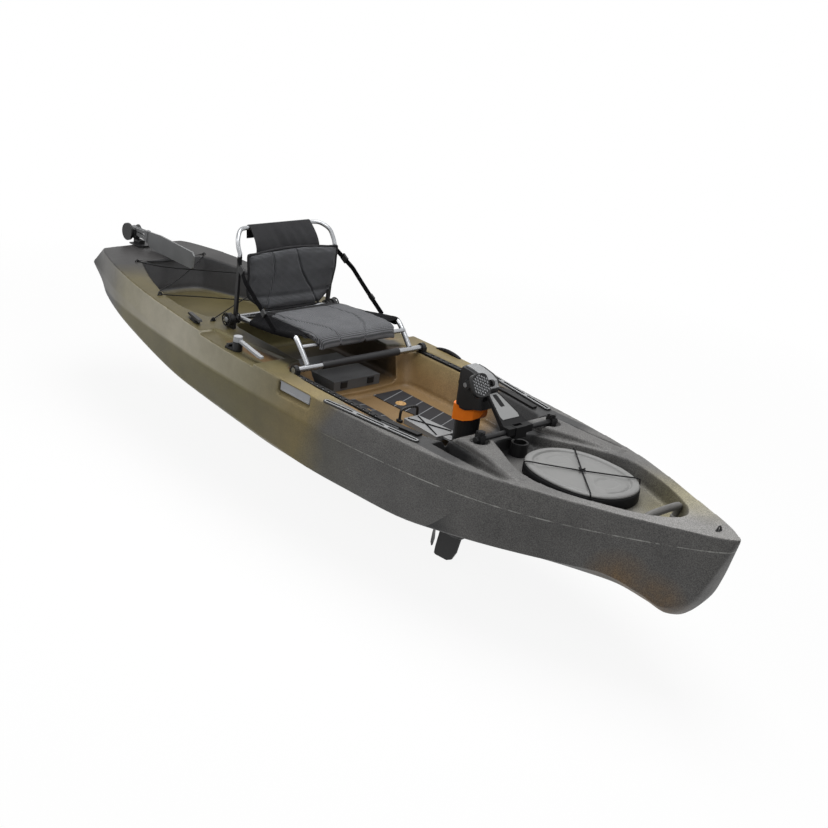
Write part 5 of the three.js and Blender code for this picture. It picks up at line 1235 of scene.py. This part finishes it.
def buildStraps():
    s = strapShape
    for side, name in bothSides:
        top = Vector((s["top"][0], side * s["top"][1], s["top"][2]))
        foot = Vector((s["foot"][0], side * s["foot"][1], s["foot"][2]))
        points = []
        for i in range(25):
            t = i / 24
            p = top.lerp(foot, t)
            p.y = side * (s["top"][1] + (s["foot"][1] - s["top"][1]) * min(1, t * 3.2))
            p.z -= 0.004 * math.sin(math.pi * t)
            points.append(p)
        mesh = stripMesh("tensionStrap_" + name, points, s["half"], s["thick"], (0.55, 0, 0.83))
        strap = newObject("tensionStrap_" + name, mesh, materials["webbing"], None, False)
        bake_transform(strap)
        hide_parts("seat_strap_" + name)
        for label, t, size in (("ladder", 0.2, 1.0), ("keeper", 0.76, 0.8)):
            p = points[int(t * 24)]
            along = (foot - top).normalized()
            across = Vector((0.55, 0, 0.83))
            across = (across - along * across.dot(along)).normalized()
            rings = []
            for k in (-0.019, -0.017, 0.017, 0.019):
                reach = 0.0155 * size if abs(k) < 0.018 else 0.013 * size
                deep = 0.0045 if abs(k) < 0.018 else 0.003
                centre = p + along * k * size + Vector((0, side * 0.002, 0))
                rings.append([centre + across * reach * a + Vector((0, side * deep * b, 0))
                              for a, b in ((-1, -1), (1, -1), (1, 1), (-1, 1))])
            mesh = loftMesh(label, rings)
            buckle = newObject(label + "Buckle_" + name, mesh, materials["black"], None, False)
            softEdges(buckle, 0.001)
            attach(buckle, "seat_back" if label == "ladder" else "seat")


# recline hubs with spokes


def ringMesh(name, radii, ys, x, z, sides=40):
    rings = []
    for r, y in zip(radii, ys):
        rings.append([(x + r * math.cos(t), y, z + r * math.sin(t))
                      for t in turns(sides)])
    rings.append(rings[0])
    return loftMesh(name, rings, False)


hubShape = {"x": -0.645, "z": 0.401, "deep": 0.005, "rim": (0.0245, 0.0245, 0.0205, 0.0205), "spokes": 8,
            "spoke": (0.008, 0.0225), "spokeHalf": 0.0022, "spokeThick": 0.0036, "lift": 0.4,
            "boss": ((0.0095, -0.3), (0.0095, 0.9), (0.0075, 1.3)),
            "wheels": (("outer", 0.3015, 1, 1.25, "seat"), ("inner", 0.2495, -1, 1.0, "seat_back"))}


def buildWheel(side, name, label, y, out, big, body):
    s = hubShape
    x, z = s["x"], s["z"]
    finish = materials["black"]
    face, deep = side * y, side * out * s["deep"]
    radii = [r * big for r in s["rim"]]
    mesh = ringMesh("hubRim", radii, [face, face + deep, face + deep, face], x, z)
    rim = newObject("hubRim_" + label + name, mesh, finish, None)
    softEdges(rim, 0.0008)
    wheel = [rim]
    level = face + deep * s["lift"]
    for i in range(s["spokes"]):
        a = math.pi * i / 4
        spot = [(x + r * big * math.cos(a), level, z + r * big * math.sin(a)) for r in s["spoke"]]
        mesh = stripMesh("hubSpoke", spot, s["spokeHalf"], s["spokeThick"], (0, 1, 0))
        wheel.append(newObject("hubSpoke_" + label + name + str(i), mesh, finish, None, False))
    boss = [[(x + r * big * math.cos(t), face + deep * h, z + r * big * math.sin(t)) for t in turns(28)]
            for r, h in s["boss"]]
    wheel.append(newObject("hubBoss_" + label + name, loftMesh("hubBoss", boss), materials["grey"], None))
    for part in wheel:
        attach(part, body)


def buildHubs():
    # a spoked wheel outside each rear hub and a smaller one on the inside of the back's pivot
    for side, name in bothSides:
        for wheel in hubShape["wheels"]:
            buildWheel(side, name, *wheel)


# bow lid and its cord

lidShape = {"x": 1.139, "long": 0.228, "wide": 0.174, "top": 0.343, "low": 0.2855}


def lidOutline(shrink, z, count=96):
    a, b = lidShape["long"] - shrink, lidShape["wide"] - shrink
    out = []
    for i in range(count):
        t = 2 * math.pi * i / count
        c, s = math.cos(t), math.sin(t)
        power = 2 / 2.25
        out.append(Vector((lidShape["x"] + a * math.copysign(abs(c) ** power, c),
                           b * math.copysign(abs(s) ** power, s), z)))
    return out


def buildLid():
    top, low = lidShape["top"], lidShape["low"]
    skirt = [lidOutline(0.016, low), lidOutline(0.003, low + 0.001), lidOutline(0.0, low + 0.008),
             lidOutline(0.0, top - 0.016), lidOutline(0.002, top - 0.013), lidOutline(0.012, top - 0.013)]
    skirtMesh = loftMesh("lidSkirt", skirt)
    apron = newObject("lidSkirt", skirtMesh, materials["dull"], "lid")
    profile = [(0.006, -0.0129), (0.002, -0.011), (0.0022, -0.006), (0.006, -0.002), (0.012, 0.0),
               (0.027, 0.0), (0.0305, -0.0012), (0.033, -0.0075), (0.037, -0.0085)]
    rings = [lidOutline(s, top + h) for s, h in profile]
    for k in (0.043, 0.052, 0.06, 0.07, 0.08, 0.09, 0.1, 0.11, 0.12, 0.13, 0.14, 0.148, 0.155, 0.163):
        rings.append(lidOutline(k, top - 0.0085 + 0.004 * min(1, (k - 0.037) / 0.06)))
    mesh = loftMesh("lidTop", rings)
    lid = newObject("lidTop", mesh, materials["lid"], None)
    panel = lid.modifiers.new("fine", "SUBSURF")
    panel.levels = panel.render_levels = 1
    applyModifiers(lid)
    # two hourglass panels with a shallow oval recess in each
    for vert in lid.data.vertices:
        p = vert.co
        if p.z < top - 0.0095:
            continue
        u, v = (p.x - lidShape["x"]) / 0.19, p.y / 0.136
        inside = math.hypot(u, v) < 0.995
        if not inside:
            continue
        waist = 0.36 * (1 - math.exp(-(u * 2.2) ** 2)) + 0.02
        edge = abs(v) - waist - 0.16 * abs(u)
        rise = 1 / (1 + math.exp(edge * 26))
        bow = abs(u) > 0.12
        p.z += 0.0052 * rise * (1 if bow else abs(u) / 0.12)
        for centre in (-0.62, 0.62):
            oval = math.hypot((u - centre) / 0.2, v / 0.36)
            p.z -= 0.0042 / (1 + math.exp((oval - 1) * 22)) * (1 if oval < 1.6 else 0)
    for face in lid.data.polygons:
        face.use_smooth = True
    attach(lid, "lid")
    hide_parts("bow_lid")


def buildLidCord():
    x, top = lidShape["x"], lidShape["top"]
    for name, side in (("A", -1), ("B", 1)):
        points = []
        for t in (-1, -0.93, -0.86, -0.6, -0.3, 0, 0.3, 0.6, 0.86, 0.93, 1):
            z = top + 0.0042 - (0.012 if abs(t) > 0.9 else 0) - (0.03 if abs(t) >= 1 else 0)
            reach = {1: 1.0, 0.93: 1.0, 0.86: 0.955}.get(round(abs(t), 2), abs(t) * 1.08)
            s = math.copysign(reach, t) if t else 0
            if abs(t) < 0.8:
                z = top + 0.0012 + 0.003 * abs(t)
            points.append((x + s * 0.161, side * s * 0.139, z))
        cord = tubeCurve("lidCord" + name, points, 0.0026, materials["cord"], "lid", 6)
        if name == "A":
            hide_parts("lid_bungee")
    knot = []
    for i in range(40):
        a = 2 * math.pi * i / 40
        knot.append((x + 0.011 * math.cos(a) + 0.004 * math.cos(3 * a),
                     0.011 * math.sin(a) - 0.004 * math.sin(3 * a), top + 0.0058 + 0.002 * math.sin(2 * a)))
    loop = tubeCurve("lidKnot", knot, 0.0026, materials["cord"], "lid", 2, True)


# other cords, pad-eyes and plugs


def deckAt(x, y):
    wide, high = gunwaleAt(x)
    dip = 10 * (1 - abs(y) / wide) if x < -1500 else 0
    return (high - dip) * mm


tankEyes = [(-1526, 192), (-1108, 336), (-746, 300)]


def buildEye(name, x, y, turn=0.0, size=1.0):
    z = deckAt(x, y)
    points = []
    for i in range(11):
        a = math.pi * i / 10
        u = 0.0095 * size * math.cos(a)
        points.append((x * mm - u * math.sin(turn), y * mm + u * math.cos(turn),
                       z + 0.001 + 0.0125 * size * math.sin(a)))
    eye = tubeCurve("eye_" + name, points, 0.0026 * size, materials["black"], "hull", 2)
    base = [(x * mm + 0.0075 * size * math.cos(t), y * mm + 0.0145 * size * math.sin(t)) for t in turns(24)]
    mesh = slabMesh("eyeFoot", base, z - 0.004, z + 0.0026)
    foot = newObject("eyeFoot_" + name, mesh, materials["black"], "hull")
    softEdges(foot, 0.0008)


def buildTankCord():
    lift = 0.007

    def spot(i, side):
        x, y = tankEyes[i]
        return Vector((x * mm, side * y * mm, deckAt(x, y) + lift))
    a, b, c, d, e, f = spot(0, -1), spot(1, 1), spot(2, -1), spot(0, 1), spot(1, -1), spot(2, 1)
    legs = [(c, b, ((0.25, 3), (0.5, 5), (0.75, 3))), (b, a, ((0.25, 3), (0.5, -4), (0.8, -12))),
            (a, d, ((0.25, -12), (0.5, -17), (0.75, -12))), (d, e, ((0.2, -16), (0.5, -15), (0.75, -5))),
            (e, f, ((0.25, -3), (0.5, -5), (0.75, -3)))]
    points = []
    for p, q, middles in legs:
        points.append(p)
        for share, rise in middles:
            points.append(p.lerp(q, share) + Vector((0, 0, rise * mm)))
    points.append(f)
    cord = tubeCurve("tankCord", points, 0.0024, materials["cord"], "hull", 5)
    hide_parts("tank_bungee")
    for i, p in enumerate((c, f)):
        ends = [p + Vector((-0.006, 0, 0)), p + Vector((0.01, 0, -0.001))]
        bead = tubeCurve("cordEnd" + str(i), ends, 0.0045, materials["cord"], "hull", 2)


def buildHullFittings():
    for i, (x, y) in enumerate(tankEyes):
        for side, name in bothSides:
            buildEye("tank" + str(i) + "_" + name, x, side * y)
    buildEye("bow", 1743, 0, 0.0, 1.15)
    for side, name in bothSides:
        rings = []
        for r, z in ((0.0232, 0.198), (0.0232, 0.2035), (0.0215, 0.2052), (0.019, 0.2056), (0.0175, 0.2046),
                     (0.0155, 0.2046), (0.0145, 0.2088), (0.0, 0.2094)):
            rings.append([(0.071 + r * math.cos(t), side * 0.097 + r * math.sin(t), z)
                          for t in turns(36)])
        plug = newObject("scupperPlug_" + name, loftMesh("scupperPlug", rings), materials["tan"], "hull")


# bow handle, cover grip and cover cords


def buildBowGrab():
    x, half, top = 1.515, 0.104, 0.345
    points = [(x - 0.018, -half, 0.287), (x - 0.014, -half, 0.31), (x - 0.006, -half + 0.006, 0.332),
              (x, -half + 0.03, top), (x, 0, top + 0.002), (x, half - 0.03, top),
              (x - 0.006, half - 0.006, 0.332), (x - 0.014, half, 0.31), (x - 0.018, half, 0.287)]
    bow = tubeCurve("bowGrab", points, 0.014, materials["speckled"], "hull", 8)
    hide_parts("bow_handle")
    for side in (-1, 1):
        rings = [[(x - 0.018 + r * math.cos(t), side * half * 0.99 + r * math.sin(t), z)
                  for t in turns(28)]
                 for r, z in ((0.017, 0.2855), (0.017, 0.291), (0.0145, 0.296))]
        mesh = loftMesh("grabFoot", rings)
        foot = newObject("bowGrabFoot" + ("S" if side < 0 else "P"), mesh, materials["speckled"], "hull")


def buildCoverGrip():
    hx = 0.222
    arch = [(hx, -0.048, 0.207), (hx, -0.047, 0.242), (hx, -0.037, 0.255), (hx, 0, 0.259), (hx, 0.037, 0.255),
            (hx, 0.047, 0.242), (hx, 0.048, 0.207)]
    path = catmull(arch, 14)
    rings = []
    for i, p in enumerate(path):
        along = (path[min(i + 1, len(path) - 1)] - path[max(i - 1, 0)]).normalized()
        side = Vector((1, 0, 0))
        up = along.cross(side)
        middle = abs(p.y) < 0.034
        rib = 0.0006 * (1 if (i % 4) < 2 else -1) if middle else 0
        rings.append([p + (side * 1.15 * math.cos(t) + up * math.sin(t)) * (0.0053 + rib)
                      for t in turns(20)])
    grip = newObject("coverGrip", loftMesh("coverGrip", rings), materials["black"], "drive")
    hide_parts("cover_handle")
    for side in (-1, 1):
        base = [(hx + a * 0.013, side * 0.0475 + b * 0.0075) for a, b in ((-1, -1), (1, -1), (1, 1), (-1, 1))]
        block = newObject("gripFoot" + ("S" if side < 0 else "P"), slabMesh("gripFoot", base, 0.2005, 0.2125),
                          materials["black"], "drive", False)
        softEdges(block, 0.0018)


def buildCoverCords():
    z = 0.2243
    for side in (-1, 1):
        line = [(0.249, side * 0.028, z), (0.34, side * -0.006, z + 0.0006), (0.432, -side * 0.042, z)]
        name = "coverCord" + ("S" if side < 0 else "P")
        cord = tubeCurve(name, line, 0.0025, materials["cord"], "drive", 6)
        if side < 0:
            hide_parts("cover_bungee")


# pedals

pedalShape = {"pivot": (0.565, 0.485), "arm": 0.135, "angle": 22, "out": 0.116, "lean": -30,
              "outline": [(-0.046, -0.026), (-0.046, 0.026), (-0.03, 0.043), (0.03, 0.043), (0.046, 0.026),
                          (0.046, -0.026), (0.03, -0.043), (-0.03, -0.043)],
              "profile": [(0.72, -0.0072), (0.86, -0.0072), (0.9, -0.0095), (0.985, -0.0095), (1.0, -0.008),
                          (1.0, 0.008), (0.985, 0.0095), (0.9, 0.0095), (0.86, 0.0072), (0.72, 0.0072)],
              "step": (0.0125, 0.0115), "limit": (0.039, 0.037, 0.058),
              "stud": ((0.0052, 0.0070), (0.0036, 0.0099))}


def treadMesh(turn):
    # rows of small four-sided studs, staggered, on both faces
    s = pedalShape
    verts, faces = [], []
    for face in (-1, 1):
        for i in range(-3, 4):
            for j in range(-3, 4):
                u, v = i * s["step"][0] + (s["step"][0] / 2 if j % 2 else 0), j * s["step"][1]
                if abs(u) > s["limit"][0] or abs(v) > s["limit"][1] or abs(u) + abs(v) > s["limit"][2]:
                    continue
                start = len(verts)
                for r, h in s["stud"]:
                    for k in range(4):
                        a = math.pi / 2 * k
                        corner = (face * h, v + r * math.sin(a), u + r * 1.25 * math.cos(a))
                        verts.append(turn @ Vector(corner))
                faces.append([start + k for k in (4, 5, 6, 7)])
                for k in range(4):
                    faces.append([start + k, start + (k + 1) % 4, start + 4 + (k + 1) % 4, start + 4 + k])
    return meshFrom("pedalTread", verts, faces)


def buildPedals():
    # a body with cut corners and a raised rim, and a tread of studs on both faces
    s = pedalShape
    for side, name in bothSides:
        angle = math.radians(s["angle"] + (0 if side < 0 else 180))
        (x, z), arm = s["pivot"], s["arm"]
        centre = Vector((x + arm * math.cos(angle), side * s["out"], z + arm * math.sin(angle)))
        turn = Matrix.Translation(centre) @ Matrix.Rotation(math.radians(s["lean"]), 4, "Y")
        outline = softened(s["outline"], 2)
        rings = [[turn @ Vector((h, b * share, a * share)) for a, b in outline] for share, h in s["profile"]]
        body = newObject("pedalBody_" + name, loftMesh("pedalBody", rings), materials["black"], None)
        tread = newObject("pedalTread_" + name, treadMesh(turn), materials["tread"], None, False)
        for piece in (body, tread):
            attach(piece, "pedal_" + name)
        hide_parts("pedal_" + name)


# brace plate, port grip and gear tracks


bracePlate = {"aft": 0.659, "fore": 0.768, "high": 0.476, "fall": 0.5693, "start": 0.655, "narrow": 0.022,
              "flare": 0.27, "window": (0.666, 0.718, 0.0125)}


def buildBracePlate():
    # pale plate between the black cheeks of the brace, with a dark window
    s = bracePlate
    for name, ends, inset, lift, finish in (("bracePanel", (s["aft"], s["fore"]), 0, 0.0016, "bracePlate"),
                                            ("braceWindow", s["window"][:2], 1, 0.0024, "dull")):
        rings = []
        for i in range(9):
            t = i / 8
            x = ends[0] + (ends[1] - ends[0]) * t
            half = s["window"][2] if inset else s["narrow"] + s["flare"] * (x - s["start"])
            half *= 0.86 if i in (0, 8) else 1
            z = s["high"] - s["fall"] * (x - s["start"])
            rings.append([(x, -half, z + 0.0003), (x, half, z + 0.0003), (x, half - 0.0012, z + lift),
                          (x, -half + 0.0012, z + lift)])
        plate = newObject(name, loftMesh(name, rings), materials[finish], "drive")
        softEdges(plate, 0.0006)


gripShape = {"aft": -0.095, "fore": 0.061, "inner": 0.427, "outer": 0.443, "low": 0.3475, "high": 0.015}


def buildPortGrip():
    # low black grip along the port edge of the deck
    s = gripShape
    rings = []
    for i in range(21):
        x = s["aft"] + (s["fore"] - s["aft"]) * i / 20
        z = s["low"] + 0.002 + s["high"] * math.sin(math.pi * i / 20) ** 0.7
        rings.append([(x, s["inner"], s["low"]), (x, s["outer"], s["low"]), (x, s["outer"], z - 0.002),
                      (x, s["outer"] - 0.004, z), (x, s["inner"] + 0.004, z), (x, s["inner"], z - 0.002)])
    grip = newObject("portGrip", loftMesh("portGrip", rings), materials["dull"], "hull")


def stadiumLine(half, wide, count=14):
    out = []
    for side, start in ((1, -math.pi / 2), (-1, math.pi / 2)):
        for i in range(count + 1):
            a = start + math.pi * i / count
            out.append((side * (half - wide) + wide * math.cos(a), wide * math.sin(a)))
    return out


trackShape = {"x": 0.418, "y": 0.398, "half": 0.236, "wide": 0.015, "turn": 8.4, "lift": 0.0006,
              "ends": (182, 654), "plate": ((0.0, 0.0), (0.0, 0.0036), (0.0008, 0.0046), (0.0018, 0.005)),
              "inlayHalf": 0.2325, "inlayWide": 0.0118,
              "inlay": ((0.0, 0.0046), (0.0, 0.0054), (0.0006, 0.0058)),
              "plateSlot": (0.009, 0.0046, 0.0022, 0.02), "inlaySlot": (0.0095, 0.0052, 0.0, 0.02)}


def trackLoft(name, turn, half, wide, layers):
    return loftMesh(name, [[turn @ Vector((x, y, z)) for x, y in stadiumLine(half - s, wide - s)]
                           for s, z in layers])


def cutSlots(piece, turn, end, wide, low, high):
    # three long slots in a row
    third = 2 * trackShape["half"] / 3
    for i in range(3):
        middle = -trackShape["half"] + third * (i + 0.5)
        line = stadiumLine(third / 2 - end, wide)
        rings = [[turn @ Vector((middle + x, y, z)) for x, y in line] for z in (low, high)]
        combine(piece, looseObject("slot", loftMesh("slot", rings)), "DIFFERENCE")


def buildTracks():
    s = trackShape
    z0, z1 = (gunwaleAt(x)[1] * mm for x in s["ends"])
    lean = -math.atan2(z1 - z0, 2 * s["half"])
    for side, name in bothSides:
        place = Matrix.Translation((s["x"], side * s["y"], (z0 + z1) / 2 + s["lift"]))
        splay = Matrix.Rotation(math.radians(-side * s["turn"]), 4, "Z")
        turn = place @ splay @ Matrix.Rotation(lean, 4, "Y")
        mesh = trackLoft("trackPlate", turn, s["half"], s["wide"], s["plate"])
        plate = looseObject("trackPlate_" + name, mesh)
        cutSlots(plate, turn, *s["plateSlot"])
        plate.data.materials.clear()
        plate.data.materials.append(materials["black"])
        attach(plate, "hull")
        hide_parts("gear_track_" + name)
        mesh = trackLoft("trackInlay", turn, s["inlayHalf"], s["inlayWide"], s["inlay"])
        inlay = newObject("trackInlay_" + name, mesh, materials["grey"], "hull")
        cutSlots(inlay, turn, *s["inlaySlot"])
        for piece in (plate, inlay):
            for face in piece.data.polygons:
                face.use_smooth = False


# finish and edge width in millimetres of each kind of CAD node

nodeFinish = {
    "bow_lid": ("lid", 3.0), "bow_handle": ("grey", 0), "lock_post": ("black", 2.0),
    "deck_cleat": ("black", 1.5), "steering_base": ("black", 1.5), "steering_lever": ("silver", 1.5),
    "steering_knob": ("silver", 1.5),
    "rudder_bracket": ("black", 1.5), "rudder_head": ("black", 1.5), "rudder_blade": ("blade", 1.5),
    "crossbar": ("black", 1.0), "drive_brace": ("dull", 1.5), "head_casing": ("black", 3.0),
    "head_cap": ("grey", 2.0), "orange_band": ("orange", 2.0), "lower_unit": ("black", 1.5),
    "well_cover": ("grey", 1.5), "cover_handle": ("black", 0), "cover_bungee": ("cord", 0),
    "crank_spindle": ("steel", 0.8), "drive_shaft": ("steel", 0.8), "prop_shaft": ("steel", 0.5),
    "propeller": ("black", 0.8), "front_bar": ("aluminium", 1.0), "seat_frame": ("tubeLong", 0),
    "seat_pad": ("meshFlat", 4.0), "back_pad": ("meshUp", 4.0), "head_flap": ("cloth", 1.5),
    "back_hoop": ("aluminium", 0), "box_tray": ("box", 2.0), "box_lid": ("box", 2.0),
    "gear_track": ("black", 1.0),
    "seat_rail": ("rail", 0.6), "foot_pad": ("pad", 0.8), "bar_clamp": ("black", 1.5),
    "clamp_knob": ("black", 1.5), "crank_arm": ("black", 2.0), "pedal": ("black", 1.5),
    "carry_handle": ("silver", 1.5),
    "rail_shoe": ("black", 1.5), "rear_hub": ("black", 1.5), "back_upright": ("black", 2.0),
    "seat_strap": ("webbing", 0), "box_latch": ("black", 1.0), "tank_bungee": ("cord", 0),
    "lid_bungee": ("cord", 0),
}


def dressNodes():
    for name, node in nodes.items():
        stem = name.replace("_starboard", "").replace("_port", "")
        if stem not in nodeFinish:
            continue
        finish, edge = nodeFinish[stem]
        node.data.materials.clear()
        node.data.materials.append(materials[finish])
        if edge:
            softEdges(node, edge * mm)
        else:
            for face in node.data.polygons:
                face.use_smooth = True


buildSeatPad()
buildBackPad()
buildHeadFlap()
buildSeatTubes()
buildSideWraps()
buildStraps()
buildHubs()
print("seat dressed")
buildLid()
buildLidCord()
buildTankCord()
buildHullFittings()
buildBowGrab()
buildCoverGrip()
buildCoverCords()
buildPedals()
buildTracks()
buildBracePlate()
buildPortGrip()
dressNodes()
print("nodes dressed")
